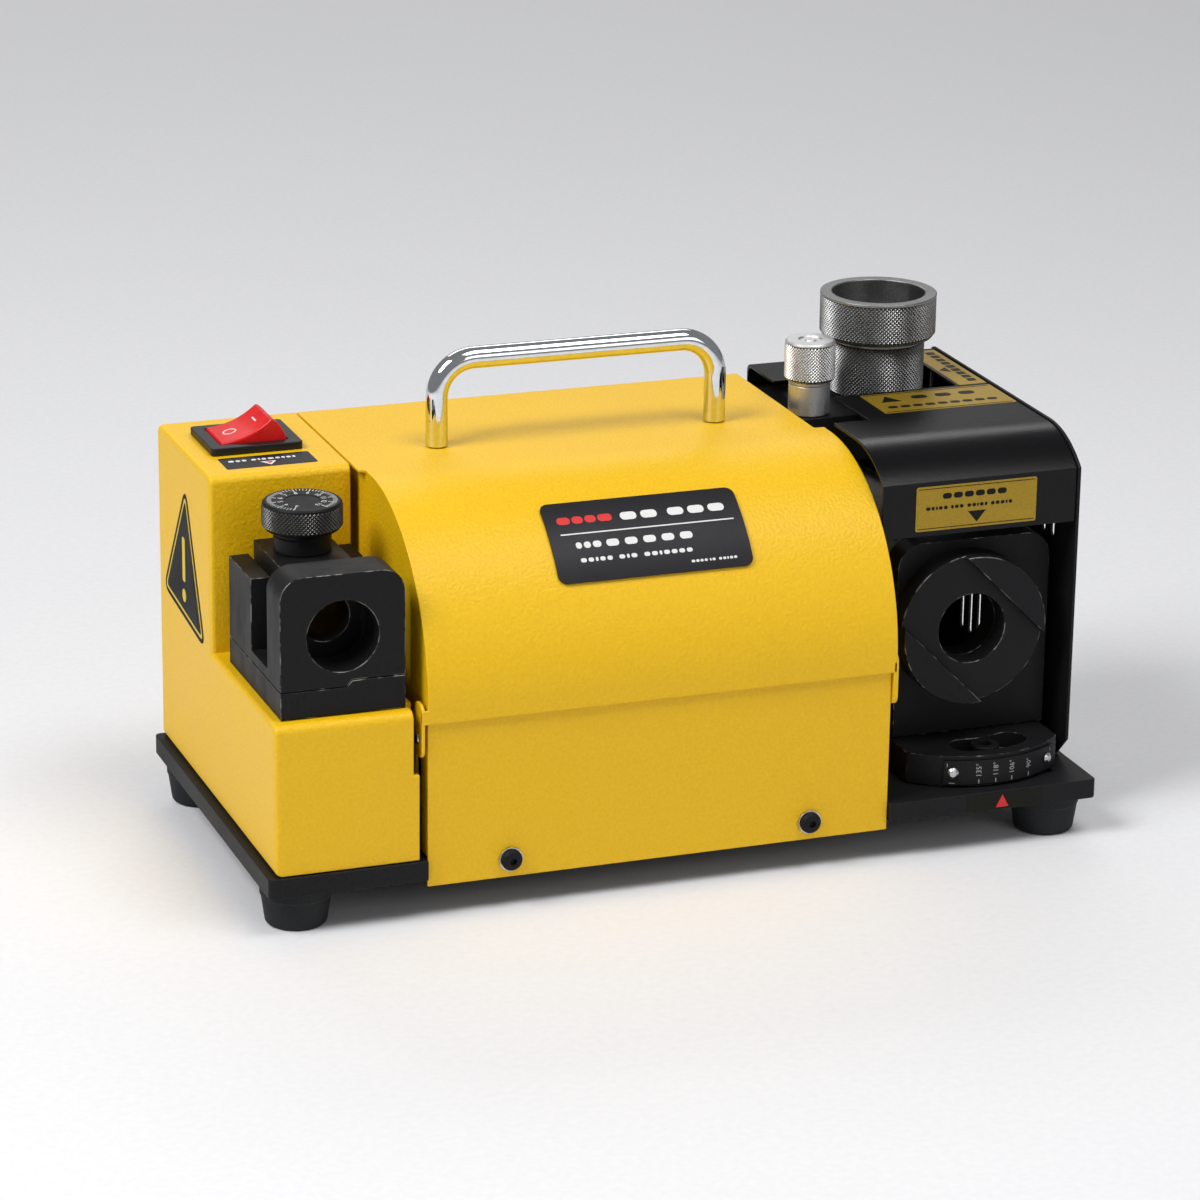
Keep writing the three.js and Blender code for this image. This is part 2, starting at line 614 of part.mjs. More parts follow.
// ---- Carrying handle and the screws that hold it from below ----
class HandlePath extends THREE.CurvePath {
  constructor(x0, x1, y, z0, z1, r) {
    super();
    const p = (x, z) => new THREE.Vector3(x, y, z);
    // each bend is two arcs of 45 degrees; `near` and `mid` place their ends and controls
    const near = r * (1 - Math.tan(Math.PI / 8));
    const mid = r * (1 - Math.SQRT1_2);
    const reach = [[0, r], [0, near], [mid, mid], [near, 0], [r, 0]];
    const leftBend = reach.map(([x, z]) => p(x0 + x, z1 - z));
    const rightBend = reach.map(([x, z]) => p(x1 - x, z1 - z)).reverse();
    this.add(new THREE.LineCurve3(p(x0, z0), leftBend[0]));
    this.add(new THREE.QuadraticBezierCurve3(...leftBend.slice(0, 3)));
    this.add(new THREE.QuadraticBezierCurve3(...leftBend.slice(2)));
    this.add(new THREE.LineCurve3(leftBend[4], rightBend[0]));
    this.add(new THREE.QuadraticBezierCurve3(...rightBend.slice(0, 3)));
    this.add(new THREE.QuadraticBezierCurve3(...rightBend.slice(2)));
    this.add(new THREE.LineCurve3(rightBend[4], p(x1, z0)));
  }
}
const handleFoot = cover.height + gap;
const gripZ = cover.height + handle.rise;
const grip = new HandlePath(handleX[0], handleX[1], handle.behind, handleFoot, gripZ, handle.bend);
const tubeSection = new THREE.Shape().absarc(0, 0, handle.tube, 0, Math.PI * 2);
const tube = new THREE.ExtrudeGeometry(tubeSection, { extrudePath: grip, steps: 40, curveSegments: 6 });
const handleBores = handleX.map((x) =>
  rod("z", bolt.radius + gap, handleFoot - over, handleFoot + handle.screwDeep, [x, handle.behind], 16),
);
add("carry_handle", cut(solidOf(tube), ...handleBores), "chrome");

["left", "right"].forEach((side, i) => {
  const under = cover.height - sheet - gap;
  const top = handleFoot + handle.screwDeep - over;
  const at = [handleX[i], handle.behind];
  const head = rod("z", bolt.head, under - bolt.headTall, under, at, 20);
  add(`handle_screw_${side}`, join(head, rod("z", bolt.radius, under - over, top, at, 16)), "zinc");
});

// ---- Motor: housing tube, stator, end bells with ball bearings, rotor, fan ----
const axis = [motorY, motor.axisZ];
const coreFrom = motorLeft + rotor.behind;
const coreTo = coreFrom + rotor.length;
const tubeIn = motor.radius - motor.wall;
add("motor_housing", ring("x", tubeIn, motor.radius, motorLeft, motorRight, axis, 36), "blackPaint");
const statorIn = rotor.radius + rotor.airGap;
add("stator_core", ring("x", statorIn, tubeIn - gap, coreFrom, coreTo, axis, 36), "laminations");

// End bell: a disc in the mouth of the tube, bored from inside for the bearing, with a thin outer lip.
function endBell(outerX, inward) {
  const at = (depth) => outerX + inward * depth;
  const seat = bearing.outer + gap;
  const hole = motor.shaft + bell.shaftClear;
  const rim = tubeIn - gap;
  const outerSide = [[hole, 0], [rim, 0], [rim, bell.thick]];
  const profile = [...outerSide, [seat, bell.thick], [seat, bell.lip], [hole, bell.lip]];
  return turned(profile.map(([r, depth]) => [r, at(depth)]), "x", axis, 32);
}
function bearingRing(outerX, inward) {
  const ends = [bell.lip + gap, bell.lip + gap + bearing.wide].map((depth) => outerX + inward * depth);
  return ring("x", motor.shaft + gap, bearing.outer, Math.min(...ends), Math.max(...ends), axis, 28);
}
for (const [side, outerX, inward] of [["left", motorLeft, 1], ["right", motorRight, -1]]) {
  add(`end_bell_${side}`, endBell(outerX, inward), "castAluminium");
  add(`bearing_${side}`, bearingRing(outerX, inward), "steel");
}

const shaftLeft = webX - webWheel.wide / 2 - nut.thick - nut.shaftPast;
const shaftRight = pointX + nut.thick + nut.shaftPast;
const webSeat = webX + webWheel.wide / 2 + gap;
const pointSeat = pointX - pointWheel.wide - gap;
const shaft = join(
  rod("x", motor.shaft, shaftLeft, shaftRight, axis, 24),
  rod("x", collar.radius, webSeat, webSeat + collar.long, axis, 24),
  rod("x", collar.radius, pointSeat - collar.long, pointSeat, axis, 24),
);
add("motor_shaft", shaft, "steel");
const onShaft = motor.shaft + gap;
const rotorEnds = [coreFrom - rotor.proud, coreTo + rotor.proud];
add("rotor_core", ring("x", onShaft, rotor.radius, ...rotorEnds, axis, 36), "laminations");

const fanLeft = motorLeft + bell.lip + bearing.wide + fan.pastBearing;
const fanTip = tubeIn - fan.tipClear;
const fanBlade = block(fanLeft, fanLeft + fan.wide, -fan.blade / 2, fan.blade / 2, fan.hub - over, fanTip);
let fanBody = ring("x", onShaft, fan.hub, fanLeft, fanLeft + fan.wide, [0, 0], 28);
for (let i = 0; i < fan.blades; i += 1) {
  fanBody = fanBody.add(fanBlade.rotate([(i * 360) / fan.blades, 0, 0]));
}
add("cooling_fan", fanBody.translate([0, axis[0], axis[1]]), "blackPlastic");

// The point wheel's face is a cone, so a bit held square to the shaft meets it at half its point angle.
const smallRadius = pointWheel.radius - pointWheel.wide * Math.tan(rad(pointWheel.slope));
const coneProfile = [
  [onShaft, pointX - pointWheel.wide],
  [pointWheel.radius, pointX - pointWheel.wide],
  [smallRadius, pointX],
  [onShaft, pointX],
];
add("point_wheel", turned(coneProfile, "x", axis, 36), "abrasive");
const discProfile = [
  [onShaft, webX - webWheel.wide / 2],
  [webWheel.radius - webWheel.bevel, webX - webWheel.wide / 2],
  [webWheel.radius, webX],
  [webWheel.radius - webWheel.bevel, webX + webWheel.wide / 2],
  [onShaft, webX + webWheel.wide / 2],
];
add("web_wheel", turned(discProfile, "x", axis, 36), "abrasive");

const hexNut = (x) => cut(
  prism(hexagon(nut.across, axis), "x", x, x + nut.thick),
  rod("x", onShaft, x - over, x + nut.thick + over, axis, 20),
);
add("point_wheel_nut", hexNut(pointX + gap), "zinc");
add("web_wheel_nut", hexNut(webX - webWheel.wide / 2 - gap - nut.thick), "zinc");

// ---- What stands on the base plate inside the hood ----
const cradleX = (motorLeft + motorRight) / 2;
const cradleBody = cut(
  block(
    cradleX - cradle.width / 2,
    cradleX + cradle.width / 2,
    motorY - cradle.depth / 2,
    motorY + cradle.depth / 2,
    gap,
    motor.axisZ - motor.radius + cradle.cheek,
  ),
  rod("x", motor.radius + gap, cradleX - cradle.width, cradleX + cradle.width, axis, 36),
);
add("motor_cradle", cradleBody, "castAluminium");

const hollowY = frontY + capacitor.behind; // middle of the room in front of the motor
const canX = motorRight + capacitor.past - capacitor.length;
const canAt = [hollowY, capacitor.radius + gap];
const can = knobRod("x", capacitor.radius, canX, canX + capacitor.length, capacitor.edge, canAt, 32);
add("run_capacitor", can, "greyPlastic");
const termX = motorLeft - capacitor.past;
const pitLow = terminal.height - terminalPit.deep;
const termPits = Array.from({ length: terminalPit.count }, (_, i) => {
  const at = [termX + terminalPit.first + i * terminalPit.pitch, hollowY];
  return rod("z", terminalPit.radius, pitLow, terminal.height + over, at, 12);
});
const terminalBody = block(
  termX,
  termX + terminal.length,
  hollowY - terminal.width / 2,
  hollowY + terminal.width / 2,
  gap,
  terminal.height,
);
add("terminal_block", cut(terminalBody, ...termPits), "greyPlastic");

// Mains inlet in the back of the left housing: flange outside, body inside, three pins in its cup.
const inletFlange = roundedRect(
  inletX - inlet.wide / 2 - inlet.rim,
  inletX + inlet.wide / 2 + inlet.rim,
  inlet.z - inlet.rim,
  inlet.z + inlet.tall + inlet.rim,
  2,
);
const outer = rearY + inlet.proud;
const inletCup = roundedRect(
  inletX - inlet.wide / 2 + inlet.wall,
  inletX + inlet.wide / 2 - inlet.wall,
  inlet.z + inlet.wall,
  inlet.z + inlet.tall - inlet.wall,
  inlet.wall,
);
const bodyX = inlet.wide / 2 - gap;
const cupFloorY = rearY - inlet.deep + inlet.wall;
const [inletLow, inletHigh] = [inlet.z + gap, inlet.z + inlet.tall - gap];
const inletShell = cut(
  join(
    prism(inletFlange, "y", rearY + gap, outer, 3),
    block(inletX - bodyX, inletX + bodyX, rearY - inlet.deep, rearY + over, inletLow, inletHigh),
  ),
  prism(inletCup, "y", cupFloorY, outer + over, 3),
);
const inletPins = inletPin.places.map(([dx, dz]) => {
  const [x, z] = [inletX + dx, inlet.z + inlet.tall / 2 + dz];
  const [w, h] = [inletPin.half, inletPin.tall / 2];
  return block(x - w, x + w, cupFloorY - over, cupFloorY - over + inletPin.long, z - h, z + h);
});
add("power_inlet", join(inletShell, ...inletPins), "blackPlastic");

// ---- Right cell: black bent cover with an L-shaped well in its top, and a vented side plate ----
const cellLeft = coverRight + cellSeam + sheet / 2;
const cellRight = sideX - cell.side - gap;
// Section in (y, z), shrunk by `inset`: flat header, crease, arc, flat top, straight back.
function cellSection(inset, bottom) {
  const e = cover.rearEdge;
  const [cy, cz] = [headerY + cell.crown, cell.height - cell.radius];
  const r = cell.radius - inset;
  const reach = cell.crown - inset;
  const s = new THREE.Shape();
  s.moveTo(headerY + inset, bottom);
  s.lineTo(headerY + inset, cz + Math.sqrt(r ** 2 - reach ** 2));
  s.absarc(cy, cz, r, Math.PI - Math.acos(reach / r), Math.PI / 2, true);
  s.lineTo(rearY - inset - e, cell.height - inset);
  s.absarc(rearY - inset - e, cell.height - inset - e, e, Math.PI / 2, 0, true);
  s.lineTo(rearY - inset, bottom);
  return s;
}
const wellY = (behind) => -halfW + behind;
const stripX = sideX - opening.strip;
const cellCover = cut(
  prism(cellSection(0, gap), "x", cellLeft, cellRight, 12),
  prism(cellSection(sheet, -over), "x", cellLeft - over, cellRight + over, 12),
  block(cellLeft - over, cellRight + over, -halfW, headerY + cell.crown, -over, cell.header),
  block(
    cellLeft - over,
    cellLeft + opening.notchWide,
    wellY(opening.notchFront),
    wellY(opening.notchRear),
    cell.height - sheet - over,
    cell.height + over,
  ),
  block(
    cellLeft + opening.notchWide - over,
    stripX,
    wellY(opening.wellFront),
    rearY - opening.rear,
    cell.height - sheet - over,
    cell.height + over,
  ),
);
add("right_cover", cellCover, "blackPaint");

const throughSide = ["x", sideX - cell.side - over, sideX + over];
const cornerCut = new THREE.Shape();
cornerCut.moveTo(headerY - over, -over);
cornerCut.lineTo(headerY + sideChamfer, -over);
cornerCut.lineTo(headerY - over, sideChamfer);
const ventCuts = ventRows.flatMap((row) => Array.from({ length: row.count }, (_, i) => {
  const y = -halfW + row.behind + i * vent.pitch;
  return prism(roundedRect(y, y + vent.wide, row.low, row.low + vent.high, vent.round), ...throughSide, 1);
}));
const sideSheet = prism(cellSection(-cell.side / 2, gap), "x", sideX - cell.side, sideX, 12);
add("right_side_plate", cut(sideSheet, prism(cornerCut, ...throughSide), ...ventCuts), "blackPaint");

// ---- Swivel: base on its pin, clamp screw in a curved slot, angle scale, bored port plate and ring ----
const swivelGroup = new THREE.Group();
swivelGroup.position.set(pivot.x, pivot.y, 0);
onDeck.add(swivelGroup);
const addSwivel = (name, solid, finish) => add(name, solid, finish, swivelGroup);

// Angles here run from the front (-Y) towards the right.
const around = (radius, degrees) => [radius * Math.sin(rad(degrees)), -radius * Math.cos(rad(degrees))];
function sector(inner, outerR, from, to) {
  const s = new THREE.Shape();
  s.absarc(0, 0, outerR, rad(from - 90), rad(to - 90), false);
  s.absarc(0, 0, inner, rad(to - 90), rad(from - 90), true);
  return s;
}
function curvedSlot(radius, half, from, to) {
  const s = new THREE.Shape();
  const [a, b] = [rad(from - 90), rad(to - 90)];
  s.absarc(0, 0, radius + half, a, b, false);
  s.absarc(radius * Math.cos(b), radius * Math.sin(b), half, b, b + Math.PI, false);
  s.absarc(0, 0, radius - half, b, a, true);
  s.absarc(radius * Math.cos(a), radius * Math.sin(a), half, a + Math.PI, a + Math.PI * 2, false);
  return s;
}
function swivelOutline() {
  const s = new THREE.Shape();
  const start = Math.PI + Math.acos(swivel.left / swivel.radius);
  const end = Math.PI * 2 - Math.acos(swivel.right / swivel.radius);
  s.moveTo(-swivel.left, swivel.rear);
  s.lineTo(-swivel.left, swivel.radius * Math.sin(start));
  s.absarc(0, 0, swivel.radius, start, end, false);
  s.lineTo(swivel.right, swivel.rear);
  return s;
}
const scaleIn = swivel.radius + gap;
const tinyHole = (degrees) => {
  const [x, y] = around(swivel.radius, degrees);
  return rod("x", scaleScrew.hole, -scaleScrew.long, scaleScrew.long, [0, 0], 12)
    .rotate([0, 0, degrees - 90])
    .translate([x, y, (scale.low + scale.high) / 2]);
};
const swivelBody = cut(
  prism(swivelOutline(), "z", gap, swivel.height, 16),
  prism(curvedSlot(slot.radius, slot.pocket, slot.from, slot.to), "z", slot.ledge, swivel.height + over, 8),
  prism(curvedSlot(slot.radius, slot.neck, slot.from, slot.to), "z", -over, slot.ledge + over, 8),
  rod("z", pin.radius + gap, -over, swivel.height + over, [0, 0], 24),
  ...scaleScrew.angles.map(tinyHole),
);
addSwivel("swivel_base", swivelBody, "blackPaint");

const scaleSector = sector(scaleIn, scaleIn + scale.thick, scale.from, scale.to);
const scaleBand = prism(scaleSector, "z", scale.low, scale.high, 14);
addSwivel("scale_plate", cut(scaleBand, ...scaleScrew.angles.map(tinyHole)), "blackPaint");
["left", "right"].forEach((side, i) => {
  const degrees = scaleScrew.angles[i];
  const face = scaleIn + scale.thick + gap;
  const profile = [
    [0, face - scaleScrew.long],
    [scaleScrew.shank, face - scaleScrew.long],
    [scaleScrew.shank, face],
    [scaleScrew.head, face],
    [scaleScrew.head * crown.flat, face + scaleScrew.headTall],
    [0, face + scaleScrew.headTall],
  ];
  const screw = turned(profile, "x", [0, 0], 16)
    .rotate([0, 0, degrees - 90])
    .translate([0, 0, (scale.low + scale.high) / 2]);
  addSwivel(`scale_screw_${side}`, screw, "zinc");
});

const pinTop = swivel.height + gap + pin.headTall;
const pivotPin = join(
  rod("z", pin.radius, -base.thick + over, pinTop, [0, 0], 24),
  rod("z", pin.head, swivel.height + gap, pinTop, [0, 0], 24),
);
addSwivel("swivel_pivot", pivotPin, "steel");

const clampTop = swivel.height + clamp.proud;
const clampAt = around(slot.radius, slot.screwAngle);
const clampScrew = cut(
  join(
    rod("z", clamp.shank, -base.thick + over, slot.ledge + over, clampAt, 16),
    knobRod("z", clamp.head, slot.ledge + gap, clampTop, clamp.edge, clampAt, 24),
  ),
  prism(hexagon(clamp.hex, clampAt), "z", clampTop - clamp.hexDeep, clampTop + over),
);
addSwivel("swivel_clamp_screw", clampScrew, "blackOxide");

const plateFront = -portPlate.front;
const portAxis = [port.x, port.z];
const archShape = arch(
  -portPlate.left,
  portPlate.right,
  swivel.height + gap,
  portPlate.top,
  portPlate.round,
);
const pinRoom = rod("z", pin.head + gap, 0, pinTop + gap, [0, 0], 24);
const portPlateBody = cut(
  prism(archShape, "y", plateFront, plateFront + portPlate.thick, 5),
  rod("y", port.bore, plateFront - over, plateFront + portPlate.thick + over, portAxis, 32),
  pinRoom,
);
addSwivel("port_plate", portPlateBody, "blackOxide");

const ringBack = plateFront - gap;
const ringMid = ringBack - port.disc;
const ringFront = ringMid - port.raise;
const across = port.ring + over;
const channel = block(-across, across, ringFront - over, ringMid, -port.channel, port.channel)
  .rotate([0, -port.tilt, 0])
  .translate([port.x, 0, port.z]);
const portRing = cut(
  rod("y", port.ring, ringFront, ringBack, portAxis, 48),
  rod("y", port.bore, ringFront - over, ringBack + over, portAxis, 32),
  channel,
);
addSwivel("port_ring", portRing, "blackOxide");

// ---- Length gauge: bored block in the well, collet chuck in its bore, knurled knob and stop bar ----
const blockFrom = [cellLeft + gap, -halfW + opening.wellFront + 2 * gap];
const blockTo = [stripX - gap, rearY - opening.rear];
const barLow = blockLow - gap;
const barTop = barLow + stopBar.thick;
const chuckXY = [chuckAt.x, chuckAt.y];
const gaugeXY = [gaugeAt.x, gaugeAt.y];
const barEnd = chuckAt.x + stopBar.wide / 2;
const windowHalf = gauge.pin + gap;
const barFrom = gaugeAt.x - stopBar.travel - windowHalf - stopBar.wall;
// The bar's outline, an arm under the knob and a tongue to the chuck, grown by `room` for its path.
const barShape = (from, z0, z1, room, travel) => join(
  block(
    from,
    barEnd + travel + room,
    chuckAt.y - stopBar.wide / 2 - room,
    chuckAt.y + stopBar.wide / 2 + room,
    z0,
    z1,
  ),
  block(from, barFrom + stopBar.arm + travel + room, gaugeAt.y - stopBar.wide / 2 - room, chuckAt.y, z0, z1),
);
const gaugeBlock = cut(
  block(blockFrom[0], blockTo[0], blockFrom[1], blockTo[1], blockLow, chuckZ.seat - gap),
  rod("z", chuckHole.radius, blockLow - over, chuckZ.seat + over, chuckXY, 40),
  rod("z", gauge.stem + gap, blockLow - over, chuckZ.seat + over, gaugeXY, 24),
  barShape(blockFrom[0] - over, blockLow - over, barTop + gap, gap, stopBar.travel),
);
add("gauge_block", gaugeBlock, "blackOxide");

// The window lets the bar slide past the knob's pin.
const stopWindow = prism(
  roundedRect(
    gaugeAt.x - stopBar.travel - windowHalf,
    gaugeAt.x + windowHalf,
    gaugeAt.y - windowHalf,
    gaugeAt.y + windowHalf,
    gauge.pin,
  ),
  "z",
  barLow - over,
  barTop + over,
  4,
);
add("gauge_stop", cut(barShape(barFrom, barLow, barTop, 0, 0), stopWindow), "steel");

const gaugeKnob = join(
  rod("z", gauge.pin, barLow + gap, barTop + 2, gaugeXY, 16),
  rod("z", gauge.stem, barTop + gap, chuckZ.seat + over, gaugeXY, 24),
  rod("z", gauge.neck, chuckZ.seat, gauge.low + over, gaugeXY, 32),
  turned(
    [
      [0, gauge.low],
      [gauge.knob - gaugeFace.edge, gauge.low],
      [gauge.knob, gauge.low + gaugeFace.edge],
      [gauge.knob, gauge.top - gaugeFace.edge],
      [gauge.knob - gaugeFace.edge, gauge.top],
      [gaugeFace.rim, gauge.top],
      [gaugeFace.rim, gauge.top - gaugeFace.sink],
      [gaugeFace.boss, gauge.top - gaugeFace.sink],
      [gaugeFace.boss, gauge.top - gaugeFace.bossSink],
      [0, gauge.top - gaugeFace.bossSink],
    ],
    "z",
    gaugeXY,
    36,
  ),
);
add("gauge_knob", gaugeKnob, "knurledSteel");

const chuckProfile = [
  [chuck.inner, chuckZ.bottom],
  [chuck.stem, chuckZ.bottom],
  [chuck.stem, chuckZ.waist + gap],
  [chuck.cup - chuck.edge, chuckZ.waist + gap],
  [chuck.cup, chuckZ.waist + gap + chuck.edge],
  [chuck.cup, chuckZ.rim - chuck.edge],
  [chuck.cup - chuck.edge, chuckZ.rim],
  [chuck.cupBore + chuck.edge, chuckZ.rim],
  [chuck.cupBore, chuckZ.rim - chuck.edge],
  [chuck.cupBore, chuckZ.floor],
  [chuck.inner, chuckZ.floor],
];
add("chuck_body", turned(chuckProfile, "z", chuckXY, 36), "knurledSteel");
const sleeveProfile = [
  [chuck.stem + gap, chuckZ.seat + gap],
  [chuck.sleeve - chuck.edge, chuckZ.seat + gap],
  [chuck.sleeve, chuckZ.seat + gap + chuck.edge],
  [chuck.sleeve, chuckZ.waist],
  [chuck.stem + gap, chuckZ.waist],
];
add("chuck_sleeve", turned(sleeveProfile, "z", chuckXY, 36), "knurledSteel");
const colletSlit = (turn) => block(
  -chuck.stem,
  chuck.stem,
  -slit.half,
  slit.half,
  chuckZ.bottom - over,
  chuckZ.waist - slit.below,
)
  .rotate([0, 0, turn])
  .translate([chuckAt.x, chuckAt.y, 0]);
const colletBody = cut(
  ring("z", chuck.drill, chuck.inner - gap, chuckZ.bottom + gap, chuckZ.floor - over, chuckXY, 32),
  colletSlit(0),
  colletSlit(90),
);
add("chuck_collet", colletBody, "steel");

export default machine;
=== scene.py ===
import json
import math

import bmesh
import bpy
from mathutils import Matrix, Vector


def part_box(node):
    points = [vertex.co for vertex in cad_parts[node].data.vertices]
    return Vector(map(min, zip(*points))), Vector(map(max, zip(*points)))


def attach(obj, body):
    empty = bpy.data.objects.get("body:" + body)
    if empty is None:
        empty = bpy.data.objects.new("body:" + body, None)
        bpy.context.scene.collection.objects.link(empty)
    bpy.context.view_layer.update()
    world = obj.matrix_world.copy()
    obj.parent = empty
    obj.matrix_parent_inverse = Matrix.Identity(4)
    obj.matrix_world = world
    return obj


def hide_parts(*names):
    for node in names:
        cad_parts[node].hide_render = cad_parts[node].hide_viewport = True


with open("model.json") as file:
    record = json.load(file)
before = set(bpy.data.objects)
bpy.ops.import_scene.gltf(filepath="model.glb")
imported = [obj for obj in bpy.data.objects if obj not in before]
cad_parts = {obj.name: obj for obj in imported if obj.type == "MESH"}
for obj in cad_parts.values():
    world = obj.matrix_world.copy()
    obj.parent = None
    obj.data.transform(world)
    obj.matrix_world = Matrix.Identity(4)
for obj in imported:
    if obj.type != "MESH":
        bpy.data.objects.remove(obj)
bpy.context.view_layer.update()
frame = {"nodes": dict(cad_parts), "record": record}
collection = bpy.context.scene.collection
mm = 0.001
print("frame loaded:", len(frame["nodes"]), "nodes")


# Colours and nodes

def linear(hexColour):
    parts = [int(hexColour[i : i + 2], 16) / 255 for i in (1, 3, 5)]
    return [c / 12.92 if c <= 0.04045 else ((c + 0.055) / 1.055) ** 2.4 for c in parts] + [1.0]


def addNode(tree, kind, inputs=None, **settings):
    made = tree.nodes.new(kind)
    for name, value in settings.items():
        setattr(made, name, value)
    for name, value in (inputs or {}).items():
        if isinstance(value, bpy.types.NodeSocket):
            tree.links.new(value, made.inputs[name])
        else:
            made.inputs[name].default_value = value
    return made


# Scale of a noise whose blobs are about this many millimetres across.
def blobs(size):
    return 1000 / size


def finish(name, look):
    material = bpy.data.materials.new(name)
    material.use_nodes = True
    tree = material.node_tree
    tree.nodes.clear()
    output = addNode(tree, "ShaderNodeOutputMaterial")
    shader = addNode(tree, "ShaderNodeBsdfPrincipled")
    tree.links.new(shader.outputs[0], output.inputs[0])
    coords = addNode(tree, "ShaderNodeTexCoord").outputs["Object"]
    stretch = look.get("stretch", (1, 1, 1))
    place = addNode(tree, "ShaderNodeMapping", {"Vector": coords, "Scale": stretch}).outputs[0]

    # slow change of tone over the surface, and a fine speckle in it
    cloud, grain = blobs(look["cloud"]), blobs(look["grain"])
    slow = addNode(tree, "ShaderNodeTexNoise", {"Vector": place, "Scale": cloud, "Detail": 3.0})
    fine = addNode(tree, "ShaderNodeTexNoise", {"Vector": place, "Scale": grain, "Detail": 2.0})
    speckle = {0: slow.outputs[0], 1: look.get("speckle", 0.3), 2: fine.outputs[0]}
    blend = addNode(tree, "ShaderNodeMath", speckle, operation="MULTIPLY_ADD")
    limits = {"Value": blend.outputs[0], "From Min": 0.45, "From Max": 0.85}
    tone = addNode(tree, "ShaderNodeMapRange", limits)
    tones = {0: tone.outputs[0], 6: linear(look["dark"]), 7: linear(look["light"])}
    paint = addNode(tree, "ShaderNodeMix", tones, data_type="RGBA").outputs[2]
    limits = {"Value": slow.outputs[0], "From Min": 0.3, "From Max": 0.7}
    limits["To Min"], limits["To Max"] = look["rough"]
    rough = addNode(tree, "ShaderNodeMapRange", limits)
    if "worn" in look:
        # patches where the coat is rubbed off and the metal below shows
        patches = {"Vector": coords, "Scale": blobs(look["wornSize"]), "Detail": 4.0}
        rub = addNode(tree, "ShaderNodeTexNoise", patches)
        limits = {"Value": rub.outputs[0], "From Min": look["wornFrom"], "From Max": look["wornFrom"] + 0.12}
        bare = addNode(tree, "ShaderNodeMapRange", limits)
        tones = {0: bare.outputs[0], 6: paint, 7: linear(look["worn"])}
        paint = addNode(tree, "ShaderNodeMix", tones, data_type="RGBA").outputs[2]
    tree.links.new(paint, shader.inputs["Base Color"])
    tree.links.new(rough.outputs[0], shader.inputs["Roughness"])
    shader.inputs["Metallic"].default_value = look.get("metal", 0.0)
    if look.get("metal", 0.0) < 0.5:
        shader.inputs["IOR"].default_value = look.get("ior", 1.5)
        shader.inputs["Specular IOR Level"].default_value = look.get("specular", 0.5)
    if "rings" in look:
        # bands of stacked sheet across X, 2 pi times `rings` millimetres apart
        waves = {"Vector": coords, "Scale": blobs(look["rings"]) / 20, "Distortion": 0.6, "Detail": 1.0}
        wave = addNode(tree, "ShaderNodeTexWave", waves, bands_direction="X")
        sheets = {0: wave.outputs[1], 1: 0.6, 2: fine.outputs[0]}
        relief = addNode(tree, "ShaderNodeMath", sheets, operation="MULTIPLY_ADD").outputs[0]
    else:
        relief = fine.outputs[0]
    depth = look["relief"] * mm
    bump = addNode(tree, "ShaderNodeBump", {"Height": relief, "Strength": 1.0, "Distance": depth})
    tree.links.new(bump.outputs[0], shader.inputs["Normal"])
    return material


